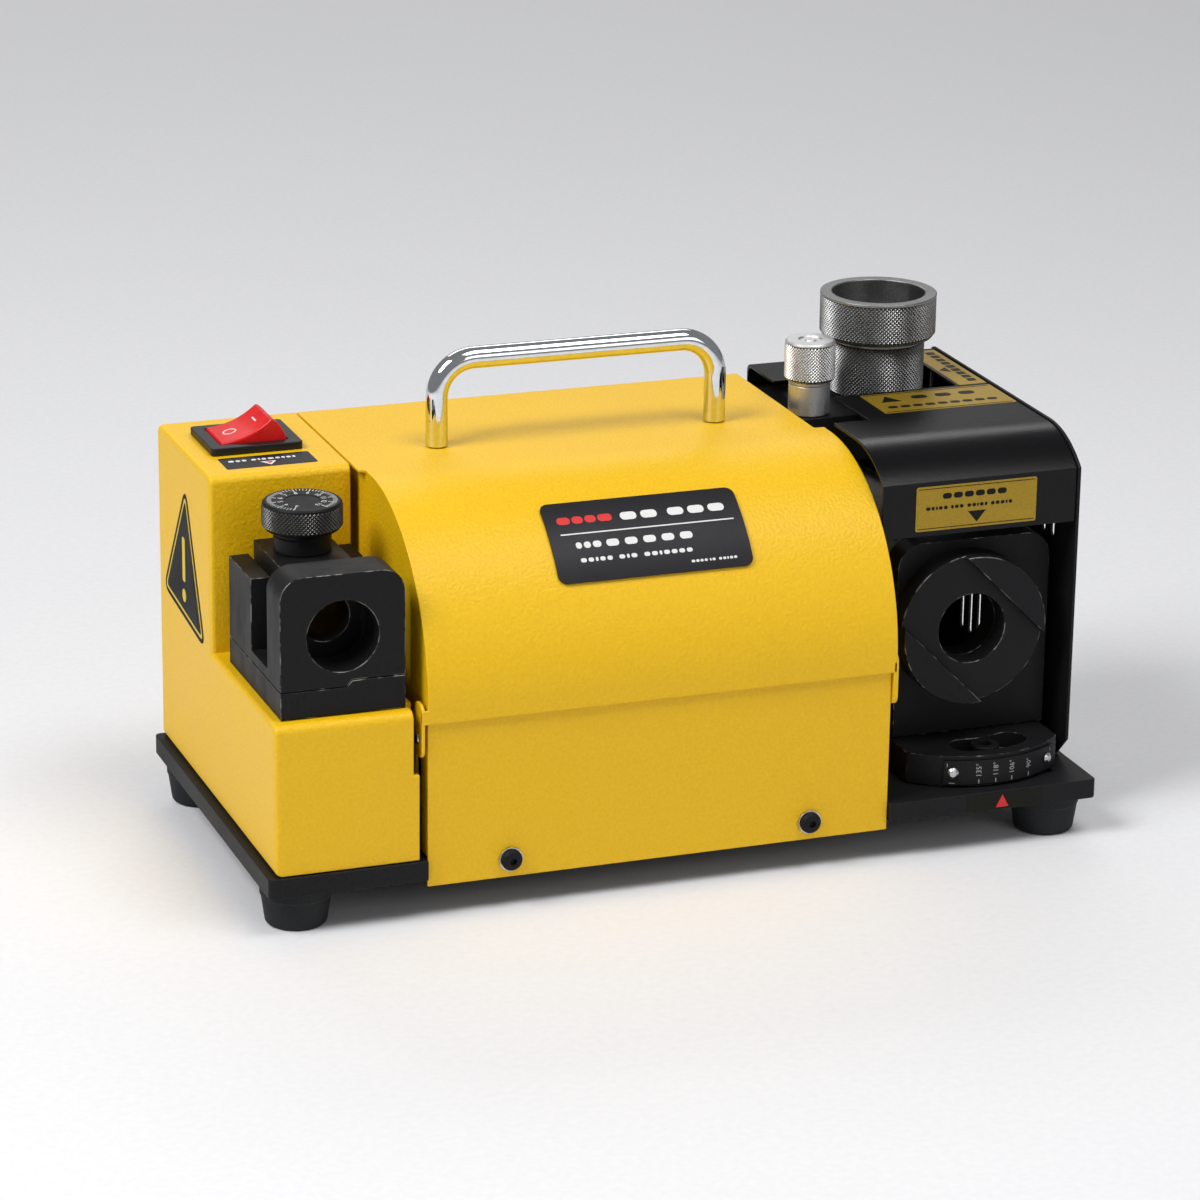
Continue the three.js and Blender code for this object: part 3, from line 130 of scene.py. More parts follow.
looks = {
    # polyester powder coat on sheet steel: warm yellow with an even orange peel
    "powderCoatYellow": {
        "light": "#ECBD0C", "dark": "#E6B507", "cloud": 90, "grain": 1.2, "relief": 0.26,
        "rough": (0.4, 0.48), "specular": 0.36, "speckle": 0.2,
    },
    # satin black powder coat on plate and castings: fine and dense
    "powderCoatBlack": {
        "light": "#1C1C1E", "dark": "#151517", "cloud": 50, "grain": 0.9, "relief": 0.03,
        "rough": (0.42, 0.54), "specular": 0.14, "speckle": 0.5,
    },
    # smoother black enamel of the folded cover
    "enamelBlack": {
        "light": "#0B0B0D", "dark": "#070709", "cloud": 60, "grain": 1.3, "relief": 0.03,
        "rough": (0.24, 0.3), "specular": 0.2, "speckle": 0.3,
    },
    # hot-blackened machined steel: near black, slightly mottled
    "blackOxideSteel": {
        "light": "#18181A", "dark": "#0F0F10", "cloud": 9, "grain": 0.7, "relief": 0.012,
        "rough": (0.42, 0.56), "specular": 0.15, "speckle": 0.8, "stretch": (1, 1, 0.4),
    },
    # edges of the same steel, painted lighter: a painted highlight along each edge, with patches where
    # handling has rubbed the black off
    "highlightAndWearEdges": {
        "light": "#2C2C2C", "dark": "#1A1A1A", "cloud": 6, "grain": 0.7, "relief": 0.01,
        "rough": (0.3, 0.42), "metal": 0.85, "worn": "#7E7C78", "wornSize": 5, "wornFrom": 0.5,
    },
    # crests of the black knurl in grey: a painted highlight on the tips
    "knurlCrestHighlight": {
        "light": "#575654", "dark": "#2C2C2C", "cloud": 4, "grain": 0.6, "relief": 0.004,
        "rough": (0.3, 0.42), "metal": 0.8, "speckle": 0.8,
    },
    # moulded natural-rubber feet: dull, dusty
    "mouldedRubber": {
        "light": "#232527", "dark": "#191A1C", "cloud": 12, "grain": 0.5, "relief": 0.02,
        "rough": (0.62, 0.8), "ior": 1.45, "specular": 0.3,
    },
    # decorative chrome on steel tube: nearly a mirror
    "chromePlate": {
        "light": "#E6E8EA", "dark": "#DADDE0", "cloud": 40, "grain": 2.0, "relief": 0.002,
        "rough": (0.05, 0.09), "metal": 1.0,
    },
    # dull steel of the knurled chuck: mid grey with soft glints
    "knurledSteel": {
        "light": "#999999", "dark": "#7E7E7E", "cloud": 8, "grain": 0.6, "relief": 0.006,
        "rough": (0.34, 0.46), "metal": 1.0,
    },
    # brighter nickel of the small knob
    "nickelPlate": {
        "light": "#E2E2E2", "dark": "#CECECE", "cloud": 8, "grain": 0.6, "relief": 0.006,
        "rough": (0.42, 0.52), "metal": 1.0,
    },
    # dirt and shadow between the knurl's crests
    "knurlGroove": {
        "light": "#2A2928", "dark": "#1A1918", "cloud": 3, "grain": 0.5, "relief": 0.02,
        "rough": (0.55, 0.7), "metal": 0.4,
    },
    # ground steel of shafts, collet and pins
    "groundSteel": {
        "light": "#B7B6B2", "dark": "#9A9995", "cloud": 10, "grain": 0.5, "relief": 0.004,
        "rough": (0.24, 0.36), "metal": 1.0, "stretch": (1, 1, 6),
    },
    # bright zinc on small screws and washers
    "zincPlate": {
        "light": "#CBCDD0", "dark": "#B2B4B8", "cloud": 3, "grain": 0.4, "relief": 0.004,
        "rough": (0.22, 0.36), "metal": 1.0,
    },
    # moulded glass-filled nylon: black, faint spark texture
    "mouldedNylonBlack": {
        "light": "#18181A", "dark": "#111113", "cloud": 10, "grain": 0.5, "relief": 0.012,
        "rough": (0.38, 0.48), "ior": 1.53, "specular": 0.35,
    },
    # polished polycarbonate of the rocker: saturated and glossy
    "polishedRedPlastic": {
        "light": "#DC1212", "dark": "#CC0C0E", "cloud": 15, "grain": 3.0, "relief": 0.004,
        "rough": (0.2, 0.28), "specular": 0.4,
    },
    # screen-printed polyester foil
    "printedFoil": {
        "light": "#232226", "dark": "#1C1B1F", "cloud": 20, "grain": 0.5, "relief": 0.006,
        "rough": (0.38, 0.46), "specular": 0.2,
    },
    # matt black print of the warning sign
    "signFoil": {
        "light": "#121213", "dark": "#0C0C0D", "cloud": 20, "grain": 0.5, "relief": 0.006,
        "rough": (0.5, 0.6), "specular": 0.1,
    },
    # gold-metallised label foil
    "goldFoil": {
        "light": "#AC8E26", "dark": "#98791C", "cloud": 14, "grain": 0.5, "relief": 0.004,
        "rough": (0.36, 0.46), "metal": 0.5, "specular": 0.3,
    },
    # screen inks of the labels and marks
    "whiteInk": {
        "light": "#E4E4E2", "dark": "#D4D4D2", "cloud": 5, "grain": 0.4, "relief": 0.003,
        "rough": (0.45, 0.55),
    },
    "greyInk": {
        "light": "#A9A9A8", "dark": "#8F8F8E", "cloud": 3, "grain": 0.4, "relief": 0.003,
        "rough": (0.45, 0.55),
    },
    "blackInk": {
        "light": "#17170F", "dark": "#10100B", "cloud": 5, "grain": 0.4, "relief": 0.003,
        "rough": (0.4, 0.5), "specular": 0.15,
    },
    "redInk": {
        "light": "#D8201C", "dark": "#C71914", "cloud": 5, "grain": 0.4, "relief": 0.003,
        "rough": (0.38, 0.48),
    },
    "yellowInk": {
        "light": "#DDBE1C", "dark": "#CFB012", "cloud": 5, "grain": 0.4, "relief": 0.003,
        "rough": (0.5, 0.6),
    },
    # sand-cast, tumbled aluminium
    "castAluminium": {
        "light": "#B9BBBD", "dark": "#A0A2A4", "cloud": 8, "grain": 0.8, "relief": 0.05,
        "rough": (0.42, 0.56), "metal": 1.0,
    },
    # stacked electrical sheet, drawn as broad bands so that it shows
    "coreSheets": {
        "light": "#7C8085", "dark": "#64676B", "cloud": 6, "grain": 0.5, "relief": 0.05,
        "rough": (0.38, 0.5), "metal": 0.9, "rings": 1.0,
    },
    # vitrified grinding wheel: coarse grit
    "bondedGrit": {
        "light": "#A3A097", "dark": "#6F6C64", "cloud": 2.5, "grain": 0.35, "relief": 0.12,
        "rough": (0.75, 0.92), "metal": 0.1, "speckle": 0.9,
    },
    # light grey moulded capacitor can and terminals
    "mouldedGreyPlastic": {
        "light": "#D4D5D1", "dark": "#C6C7C3", "cloud": 15, "grain": 0.6, "relief": 0.01,
        "rough": (0.42, 0.52),
    },
}
paints = {name: finish(name, look) for name, look in looks.items()}
print("finishes:", len(paints))

slotPaint = {
    "yellow_paint": "powderCoatYellow", "black_paint": "powderCoatBlack",
    "black_oxide": "blackOxideSteel", "rubber": "mouldedRubber", "chrome": "chromePlate",
    "knurled_steel": "knurledSteel", "steel": "groundSteel", "zinc": "zincPlate",
    "black_plastic": "mouldedNylonBlack", "red_plastic": "polishedRedPlastic", "name_foil": "printedFoil",
    "cast_aluminium": "castAluminium", "laminations": "coreSheets", "abrasive": "bondedGrit",
    "grey_plastic": "mouldedGreyPlastic",
}
slotOf = {part["node"]: part["material_slot"] for part in frame["record"]["subparts"]}
bodyOf = {node: body for body, nodes in frame["record"]["behaviour"]["bodies"].items() for node in nodes}

# every node of the frame gets the finish of its slot, whether it stays or is replaced below
for nodeName, solid in frame["nodes"].items():
    solid.data.materials.clear()
    solid.data.materials.append(paints[slotPaint[slotOf[nodeName]]])


# Making pieces; outlines are in millimetres

def box(node):
    low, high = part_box(node)
    return low / mm, high / mm


# A node's box, and the middle of it seen from above.
def boxAndMiddle(node):
    low, high = box(node)
    return low, high, ((low.x + high.x) / 2, (low.y + high.y) / 2)


def linked(name, mesh, *materials):
    piece = bpy.data.objects.new(name, mesh)
    collection.objects.link(piece)
    for material in materials:
        mesh.materials.append(material)
    return piece


def meshFrom(bm, name, scale=mm):
    bmesh.ops.recalc_face_normals(bm, faces=bm.faces)
    for vert in bm.verts:
        vert.co *= scale
    mesh = bpy.data.meshes.new(name)
    bm.to_mesh(mesh)
    bm.free()
    return mesh


# Replaces an object's mesh with what its modifiers make of it.
def settle(piece):
    bpy.context.view_layer.update()
    graph = bpy.context.evaluated_depsgraph_get()
    shaped = piece.evaluated_get(graph)
    mesh = bpy.data.meshes.new_from_object(shaped, preserve_all_data_layers=True, depsgraph=graph)
    piece.modifiers.clear()
    piece.data = mesh
    return piece


# Softens the edges sharper than `angle` and shades the rest smooth.
def soften(piece, width, segments=3, angle=30, edgeSlot=None):
    piece.data.shade_smooth()
    if width:
        bevel = piece.modifiers.new("edges", "BEVEL")
        bevel.width = width * mm
        bevel.segments = segments
        bevel.limit_method = "ANGLE"
        bevel.angle_limit = math.radians(angle)
        bevel.use_clamp_overlap = False
        bevel.miter_outer = "MITER_ARC"
        if edgeSlot is not None:
            bevel.material = edgeSlot
    shading = piece.modifiers.new("shading", "WEIGHTED_NORMAL")
    shading.weight = 60
    shading.keep_sharp = True
    return settle(piece)


def carve(piece, *cutters):
    for cutter in cutters:
        tool = piece.modifiers.new("cut", "BOOLEAN")
        tool.operation = "DIFFERENCE"
        tool.solver = "EXACT"
        tool.object = cutter
    settle(piece)
    for cutter in cutters:
        bpy.data.objects.remove(cutter)
    return piece


def arc(centre, radius, start, end, steps):
    angles = [math.radians(start + (end - start) * i / steps) for i in range(steps + 1)]
    return [(centre[0] + radius * math.cos(a), centre[1] + radius * math.sin(a)) for a in angles]


# A point on the curve that leaves `start` and reaches `end`, drawn towards `pull` on its way.
def between(start, pull, end, share):
    return start * (1 - share) ** 2 + pull * 2 * share * (1 - share) + end * share * share


# Rounds each corner of a closed outline; a corner may carry its own radius as a third value.
def filleted(points, radius, steps=4):
    rounded = []
    for i, corner in enumerate(points):
        bend = corner[2] if len(corner) > 2 else radius
        here = Vector(corner[:2])
        before = Vector(points[i - 1][:2]) - here
        after = Vector(points[(i + 1) % len(points)][:2]) - here
        if bend <= 0 or before.length < 1e-6 or after.length < 1e-6:
            rounded.append(tuple(here))
            continue
        half = before.angle(after) / 2
        if half > math.radians(88):
            rounded.append(tuple(here))
            continue
        reach = min(bend / math.tan(half), before.length * 0.49, after.length * 0.49)
        first = here + before.normalized() * reach
        last = here + after.normalized() * reach
        for step in range(steps + 1):
            rounded.append(tuple(between(first, here, last, step / steps)))
    return rounded


def roundedBox(u0, u1, v0, v1, r, steps=6):
    return (
        arc((u1 - r, v0 + r), r, -90, 0, steps)
        + arc((u1 - r, v1 - r), r, 0, 90, steps)
        + arc((u0 + r, v1 - r), r, 90, 180, steps)
        + arc((u0 + r, v0 + r), r, 180, 270, steps)
    )


# How an outline's (u, v) and its depth w turn into (x, y, z).
laid = {
    "x": lambda u, v, w: (w, u, v),
    "y": lambda u, v, w: (u, w, v),
    "z": lambda u, v, w: (u, v, w),
}


# Two equal rings of vertices become a closed slab.
def slab(bm, lower, upper):
    faces = [bm.faces.new(lower), bm.faces.new(upper)]
    for i in range(len(lower)):
        j = (i + 1) % len(lower)
        faces.append(bm.faces.new([lower[i], lower[j], upper[j], upper[i]]))
    return faces


def prism(name, outline, axis, low, high, *materials):
    bm = bmesh.new()
    slab(bm, *[[bm.verts.new(laid[axis](u, v, w)) for u, v in outline] for w in (low, high)])
    return linked(name, meshFrom(bm, name), *materials)


# Spins a closed profile of (radius, height) about an axis; points on the axis become poles.
def turned(name, profile, axis, at, sides, *materials):
    bm = bmesh.new()
    columns = []
    poles = {}
    for s in range(sides):
        angle = 2 * math.pi * s / sides
        column = []
        for i, (r, h) in enumerate(profile):
            if r < 1e-6 and i in poles:
                column.append(poles[i])
                continue
            spot = {
                "z": (at[0] + r * math.cos(angle), at[1] + r * math.sin(angle), h),
                "y": (at[0] + r * math.cos(angle), h, at[1] + r * math.sin(angle)),
                "x": (h, at[0] + r * math.cos(angle), at[1] + r * math.sin(angle)),
            }[axis]
            vert = bm.verts.new(spot)
            if r < 1e-6:
                poles[i] = vert
            column.append(vert)
        columns.append(column)
    for s in range(sides):
        here, there = columns[s], columns[(s + 1) % sides]
        for i in range(len(profile)):
            j = (i + 1) % len(profile)
            corners = []
            for vert in (here[i], here[j], there[j], there[i]):
                if vert not in corners:
                    corners.append(vert)
            if len(corners) > 2:
                bm.faces.new(corners)
    return linked(name, meshFrom(bm, name), *materials)


# A copy of a node, merged and with its edges softened.
def refined(node, width, material=None, edgeMaterial=None, segments=3, angle=30):
    bm = bmesh.new()
    bm.from_mesh(frame["nodes"][node].data)
    bmesh.ops.remove_doubles(bm, verts=bm.verts, dist=4e-6)
    bmesh.ops.dissolve_limit(bm, angle_limit=math.radians(0.4), verts=bm.verts, edges=bm.edges)
    mesh = bpy.data.meshes.new(node + "_fine")
    bm.to_mesh(mesh)
    bm.free()
    coats = [material or paints[slotPaint[slotOf[node]]]] + ([edgeMaterial] if edgeMaterial else [])
    piece = linked(node + "_fine", mesh, *coats)
    soften(piece, width, segments, angle, 1 if edgeMaterial else None)
    return standIn(piece, node)


# The piece stands for a node: it joins the node's body, and the node is hidden.
def standIn(piece, node, *others):
    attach(piece, bodyOf[node])
    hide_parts(node, *others)
    return piece


def merged(name, pieces):
    bm = bmesh.new()
    materials = []
    for piece in pieces:
        start = len(bm.faces)
        bm.from_mesh(piece.data)
        bm.faces.ensure_lookup_table()
        slots = []
        for material in piece.data.materials:
            if material not in materials:
                materials.append(material)
            slots.append(materials.index(material))
        for face in bm.faces[start:]:
            face.material_index = slots[face.material_index]
    mesh = bpy.data.meshes.new(name)
    bm.to_mesh(mesh)
    bm.free()
    for piece in pieces:
        bpy.data.objects.remove(piece)
    return linked(name, mesh, *materials)


# Edges and small forms taken from the frame's own nodes

edgeWidths = {
    "base_plate": 0.5, "left_housing": 0.35, "front_panel": 0.3, "right_side_plate": 0.25,
    "switch_body": 0.35, "scale_plate": 0.15, "gauge_block": 0.3,
    "panel_washer_left": 0.12, "panel_washer_right": 0.12,
    "panel_screw_left": 0.12, "panel_screw_right": 0.12,
    "scale_screw_left": 0.1, "scale_screw_right": 0.1, "power_inlet": 0.25, "motor_cradle": 0.4,
    "point_wheel_nut": 0.3, "web_wheel_nut": 0.3, "cooling_fan": 0.2, "terminal_block": 0.3,
}
for nodeName, width in edgeWidths.items():
    refined(nodeName, width)
# their bevelled edges take the lighter edge finish: a painted highlight along each edge, with worn patches
for nodeName in ("web_port_base", "web_port_body", "web_knob_block", "port_plate", "swivel_base"):
    refined(nodeName, 0.3, edgeMaterial=paints["highlightAndWearEdges"])
refined("right_cover", 0.3, material=paints["enamelBlack"])
print("refined nodes done")


# Hood: one bent sheet with a plate in each end

hood = {
    "radius": 66.9, "sheet": 1.2, "hem": 73.3, "rearEdge": 3, "bottom": 22.8, "shaftHole": 12,
    "endInset": 0.6,
}
# the end plates pass behind the front panel's flanges
flange = {"rear": -61.4, "top": 60.5, "front": -66.8, "gap": 0.3}
# the arch stands back from the left end, above an ear that hangs over the panel's flange
archNotch = {"wide": 2.3, "rear": -3.0, "round": 1.5}
# the flat top stands back from the right end
topNotch = {"wide": 4, "low": 4}
ear = {"deep": 9, "low": 60.5, "high": 80.5, "round": 3.5}
hoodLow, hoodHigh = box("main_cover")
earRight = hoodHigh.x
hoodRight = earRight - 0.6
panelTop = box("front_panel")[1].z


def hoodOutline(inset, bottomFront, bottomRear):
    centre = (hoodLow.y + hood["radius"], hoodHigh.z - hood["radius"])
    r = hood["rearEdge"]
    rear = (hoodHigh.y - inset - r, hoodHigh.z - inset - r)
    return (
        [(hoodLow.y + inset, bottomFront)]
        + arc(centre, hood["radius"] - inset, 180, 90, 64)
        + arc(rear, r, 90, 0, 8)
        + [(hoodHigh.y - inset, bottomRear)]
    )


def hoodPiece():
    yellow = paints["powderCoatYellow"]
    outside = hoodOutline(0, hood["hem"], hood["bottom"])
    inside = hoodOutline(hood["sheet"], hood["hem"], hood["bottom"])
    sheet = prism("hood_sheet", outside + inside[::-1], "x", hoodLow.x, hoodRight, yellow)
    reach = archNotch["round"] + 1
    notchLeft, notchRight = hoodLow.x - reach, hoodLow.x + archNotch["wide"]
    side = roundedBox(notchLeft, notchRight, ear["high"], hoodHigh.z + reach, archNotch["round"])
    plan = roundedBox(notchLeft, notchRight, hoodLow.y - reach, archNotch["rear"], archNotch["round"])
    front = prism("notch_front", side, "y", hoodLow.y - 1, archNotch["rear"] - reach)
    above = prism("notch_above", plan, "z", hoodHigh.z - hood["radius"], hoodHigh.z + 1)
    stepLeft = hoodRight - topNotch["wide"]
    step = roundedBox(stepLeft, hoodRight + 3, archNotch["rear"], hoodHigh.y + 3, 1.0)
    carve(sheet, front, above, prism("step", step, "z", hoodHigh.z - topNotch["low"], hoodHigh.z + 1))
    soften(sheet, 0.3)
    parts = [sheet]
    motorAxis = [(a + b) / 2 for a, b in zip(*box("motor_housing"))]
    for x in (notchRight + flange["gap"], hoodRight - hood["sheet"]):
        hem = panelTop + flange["gap"]
        outline = hoodOutline(hood["endInset"], hem, hood["bottom"])
        outline += [(flange["rear"], hood["bottom"]), (flange["rear"], flange["top"])]
        outline += [(flange["front"], flange["top"]), (flange["front"], hem)]
        plate = prism("hood_end", outline, "x", x, x + hood["sheet"], yellow)
        hole = prism("hole", arc(motorAxis[1:], hood["shaftHole"], 0, 354, 59), "x", x - 2, x + 4)
        room = prism("room", step, "z", hoodHigh.z - topNotch["low"], hoodHigh.z + 1)
        carve(plate, hole, room)
        parts.append(soften(plate, 0.2))
    tab = roundedBox(hoodLow.y, hoodLow.y + ear["deep"], ear["low"], ear["high"], ear["round"])
    for left, right in ((hoodLow.x, hoodLow.x + hood["sheet"]), (hoodRight - hood["sheet"], earRight)):
        piece = prism("ear", tab, "x", left, right, yellow)
        parts.append(soften(piece, 0.25))
    return merged("hood", parts)


standIn(hoodPiece(), "main_cover")


# Carrying handle: bent tube, closed at its ends by the seats of its screws

handle = {"tube": 4.1, "bend": 14, "sides": 48, "bendSteps": 16, "endRound": 0.4}


def handlePiece():
    low, high = box("carry_handle")
    tube = handle["tube"]
    left, right, top = low.x + tube, high.x - tube, high.z - tube
    middle = (low.y + high.y) / 2
    bend = handle["bend"]
    rounding = handle["endRound"]
    path = [(left, low.z), (left, low.z + rounding)]
    path += arc((left + bend, top - bend), bend, 180, 90, handle["bendSteps"])
    path += arc((right - bend, top - bend), bend, 90, 0, handle["bendSteps"])
    path += [(right, low.z + rounding), (right, low.z)]
    bm = bmesh.new()
    rings = []
    for i, (x, z) in enumerate(path):
        ahead = Vector(path[min(i + 1, len(path) - 1)]) - Vector(path[max(i - 1, 0)])
        ahead.normalize()
        side = Vector((-ahead.y, ahead.x))
        radius = tube - (rounding if i in (0, len(path) - 1) else 0)
        ring = []
        for s in range(handle["sides"]):
            angle = 2 * math.pi * s / handle["sides"]
            out = side * math.cos(angle) * radius
            ring.append(bm.verts.new((x + out.x, middle + math.sin(angle) * radius, z + out.y)))
        rings.append(ring)
    for here, there in zip(rings, rings[1:]):
        for s in range(handle["sides"]):
            t = (s + 1) % handle["sides"]
            bm.faces.new([here[s], here[t], there[t], there[s]])
    bm.faces.new(rings[0])
    bm.faces.new(rings[-1])
    tube = linked("handle_tube", meshFrom(bm, "handle_tube"), paints["chromePlate"])
    return soften(tube, 0)


standIn(handlePiece(), "carry_handle")
print("hood and handle done")


# A geometry tree with named sizes and counts, a centre and a finish.
def treeWith(name, sizes, counts):
    tree = bpy.data.node_groups.new(name, "GeometryNodeTree")
    kinds = {"Centre": "NodeSocketVector", "Finish": "NodeSocketMaterial"}
    inputs = {**dict.fromkeys(sizes, "NodeSocketFloat"), **dict.fromkeys(counts, "NodeSocketInt"), **kinds}
    for socketName, kind in inputs.items():
        socket = tree.interface.new_socket(name=socketName, in_out="INPUT", socket_type=kind)
        if socketName in sizes or socketName in counts:
            socket.default_value = {**sizes, **counts}[socketName]
    tree.interface.new_socket(name="Geometry", in_out="OUTPUT", socket_type="NodeSocketGeometry")
    return tree


# Diamond knurl: rows of small pyramids wrapped on a cylinder

def knurlTree():
    sizes = {"Radius": 0.02, "Low": 0.0, "Step": 0.0007, "Height": 0.0003}
    tree = treeWith("diamondKnurl", sizes, {"Around": 10, "Rows": 10})
    given = addNode(tree, "NodeGroupInput").outputs

    around, rows = given["Around"], given["Rows"]
    count = addNode(tree, "ShaderNodeMath", {0: around, 1: rows}, operation="MULTIPLY").outputs[0]
    points = addNode(tree, "GeometryNodePoints", {"Count": count}).outputs[0]
    index = addNode(tree, "GeometryNodeInputIndex").outputs[0]
    ratio = addNode(tree, "ShaderNodeMath", {0: index, 1: around}, operation="DIVIDE").outputs[0]
    nudged = addNode(tree, "ShaderNodeMath", {0: ratio, 1: 0.0001}, operation="ADD").outputs[0]
    row = addNode(tree, "ShaderNodeMath", {0: nudged}, operation="FLOOR").outputs[0]
    # every second row is turned by half a pitch
    odd = addNode(tree, "ShaderNodeMath", {0: row, 1: 2.0}, operation="MODULO").outputs[0]
    shift = addNode(tree, "ShaderNodeMath", {0: odd, 1: 0.5}, operation="MULTIPLY").outputs[0]
    place = addNode(tree, "ShaderNodeMath", {0: index, 1: shift}, operation="ADD").outputs[0]
    turns = addNode(tree, "ShaderNodeMath", {0: place, 1: around}, operation="DIVIDE").outputs[0]
    angle = addNode(tree, "ShaderNodeMath", {0: turns, 1: 2 * math.pi}, operation="MULTIPLY").outputs[0]
    cosine = addNode(tree, "ShaderNodeMath", {0: angle}, operation="COSINE").outputs[0]
    sine = addNode(tree, "ShaderNodeMath", {0: angle}, operation="SINE").outputs[0]
    x = addNode(tree, "ShaderNodeMath", {0: cosine, 1: given["Radius"]}, operation="MULTIPLY").outputs[0]
    y = addNode(tree, "ShaderNodeMath", {0: sine, 1: given["Radius"]}, operation="MULTIPLY").outputs[0]
    level = {0: row, 1: given["Step"], 2: given["Low"]}
    z = addNode(tree, "ShaderNodeMath", level, operation="MULTIPLY_ADD").outputs[0]
    spot = addNode(tree, "ShaderNodeCombineXYZ", {0: x, 1: y, 2: z}).outputs[0]
    spot = addNode(tree, "ShaderNodeVectorMath", {0: spot, 1: given["Centre"]}, operation="ADD").outputs[0]
    placed = addNode(tree, "GeometryNodeSetPosition", {"Geometry": points, "Position": spot}).outputs[0]
    share = math.pi * 0.9  # the rest of the half pitch is the groove
    girth = addNode(tree, "ShaderNodeMath", {0: given["Radius"], 1: share}, operation="MULTIPLY").outputs[0]
    half = addNode(tree, "ShaderNodeMath", {0: girth, 1: around}, operation="DIVIDE").outputs[0]
    form = {"Vertices": 4, "Radius Top": 0.0, "Radius Bottom": half, "Depth": given["Height"]}
    pyramid = addNode(tree, "GeometryNodeMeshCone", form, fill_type="NONE").outputs[0]
    turn = addNode(tree, "ShaderNodeCombineXYZ", {1: math.pi / 2, 2: angle}).outputs[0]
    stamps = {"Points": placed, "Instance": pyramid, "Rotation": turn}
    copies = addNode(tree, "GeometryNodeInstanceOnPoints", stamps).outputs[0]
    real = addNode(tree, "GeometryNodeRealizeInstances", {0: copies}).outputs[0]
    facets = {"Geometry": real, "Shade Smooth": False}
    flat = addNode(tree, "GeometryNodeSetShadeSmooth", facets).outputs[0]
    coat = {"Geometry": flat, "Material": given["Finish"]}
    done = addNode(tree, "GeometryNodeSetMaterial", coat).outputs[0]
    addNode(tree, "NodeGroupOutput", {0: done})
    return tree


def grown(name, tree, values):
    piece = linked(name, bpy.data.meshes.new(name))
    maker = piece.modifiers.new("maker", "NODES")
    maker.node_group = tree
    for item in tree.interface.items_tree:
        if item.in_out == "INPUT" and item.name in values:
            maker[item.identifier] = values[item.name]
    return settle(piece)


diamonds = knurlTree()


# A band of knurl whose tips stand at `radius`, from `low` to `high`.
def knurl(name, centre, radius, low, high, pitch, depth, material):
    around = round(2 * math.pi * radius / pitch)
    half = math.pi * (radius - depth) / around
    rows = int((high - low) / half) - 1
    start = (low + high) / 2 - (rows - 1) * half / 2
    values = {
        "Radius": (radius - depth) * mm, "Low": start * mm, "Step": half * mm, "Height": depth * mm,
        "Around": around, "Rows": rows, "Centre": (centre[0] * mm, centre[1] * mm, 0.0), "Finish": material,
    }
    return grown(name, diamonds, values)


# The turned form and its band of knurl, as one piece in place of a node.
def knurled(name, node, form, at, radius, low, high, size, crests):
    band = knurl(name + "_band", at, radius, low, high, size["pitch"], size["depth"], crests)
    standIn(merged(name, [form, band]), node)


# Collet chuck: knurled cup above, knurled nut below

chuck = {
    "cup": 22.4, "sleeve": 18.3, "cupBore": 17.8, "cupFloor": 166.1, "stem": 12.4, "inner": 9.4,
    "pitch": 1.6, "depth": 0.55,
}
chuckLow, chuckHigh, chuckAt = boxAndMiddle("chuck_body")
sleeveLow, sleeveHigh = box("chuck_sleeve")


# Gives the groove's finish, painted shadow between the crests, to a form's faces under a knurl: those at
# `radius` between two heights.
def darken(form, centre, radius, low, high):
    for face in form.data.polygons:
        spot = face.center / mm
        out = math.hypot(spot.x - centre[0], spot.y - centre[1])
        if abs(out - radius) < 0.15 and low < spot.z < high:
            face.material_index = 1


def chuckPieces():
    grey, groove = paints["knurledSteel"], paints["knurlGroove"]
    depth = chuck["depth"]
    cupFloor, cupFoot = chuck["cupFloor"], sleeveHigh.z + 0.3
    profile = [
        (chuck["inner"], chuckLow.z), (chuck["stem"], chuckLow.z), (chuck["stem"], cupFoot),
        (chuck["cup"] - 1.2, cupFoot, 0.1), (chuck["cup"] - depth, cupFoot + 1.0, 0.1),
        (chuck["cup"] - depth, chuckHigh.z - 1.2, 0.1), (chuck["cup"], chuckHigh.z - 1.0, 0.1),
        (chuck["cup"], chuckHigh.z, 0.4), (chuck["cupBore"], chuckHigh.z, 0.6),
        (chuck["cupBore"], cupFloor, 0.8), (chuck["inner"], cupFloor, 0.3),
    ]
    cup = turned("cup_form", filleted(profile, 0.15), "z", chuckAt, 128, grey, groove)
    darken(cup, chuckAt, chuck["cup"] - depth, cupFoot + 1.1, chuckHigh.z - 1.1)
    soften(cup, 0)
    low, high = cupFoot + 0.9, chuckHigh.z - 0.9
    knurled("chuck_cup", "chuck_body", cup, chuckAt, chuck["cup"], low, high, chuck, grey)
    profile = [
        (chuck["stem"] + 0.3, sleeveLow.z), (chuck["sleeve"] - 1.0, sleeveLow.z, 0.1),
        (chuck["sleeve"] - depth, sleeveLow.z + 0.8, 0.1), (chuck["sleeve"] - depth, sleeveHigh.z - 1.4, 0.1),
        (chuck["sleeve"] - 0.6, sleeveHigh.z - 0.6, 0.3), (chuck["sleeve"] - 1.4, sleeveHigh.z, 0.3),
        (chuck["stem"] + 0.3, sleeveHigh.z),
    ]
    nut = turned("nut_form", filleted(profile, 0.1), "z", chuckAt, 112, grey, groove)
    darken(nut, chuckAt, chuck["sleeve"] - depth, sleeveLow.z + 0.7, sleeveHigh.z - 1.3)
    soften(nut, 0)
    low, high = sleeveLow.z + 0.8, sleeveHigh.z - 1.3
    knurled("chuck_nut", "chuck_sleeve", nut, chuckAt, chuck["sleeve"], low, high, chuck, grey)


chuckPieces()


# Gauge knob: knurled head with a turned face, plain neck

gauge = {
    "head": 9.75, "headLow": 153.5, "neck": 7.9, "neckLow": 140.5, "stem": 4.0, "pitch": 1.35, "depth": 0.42,
}


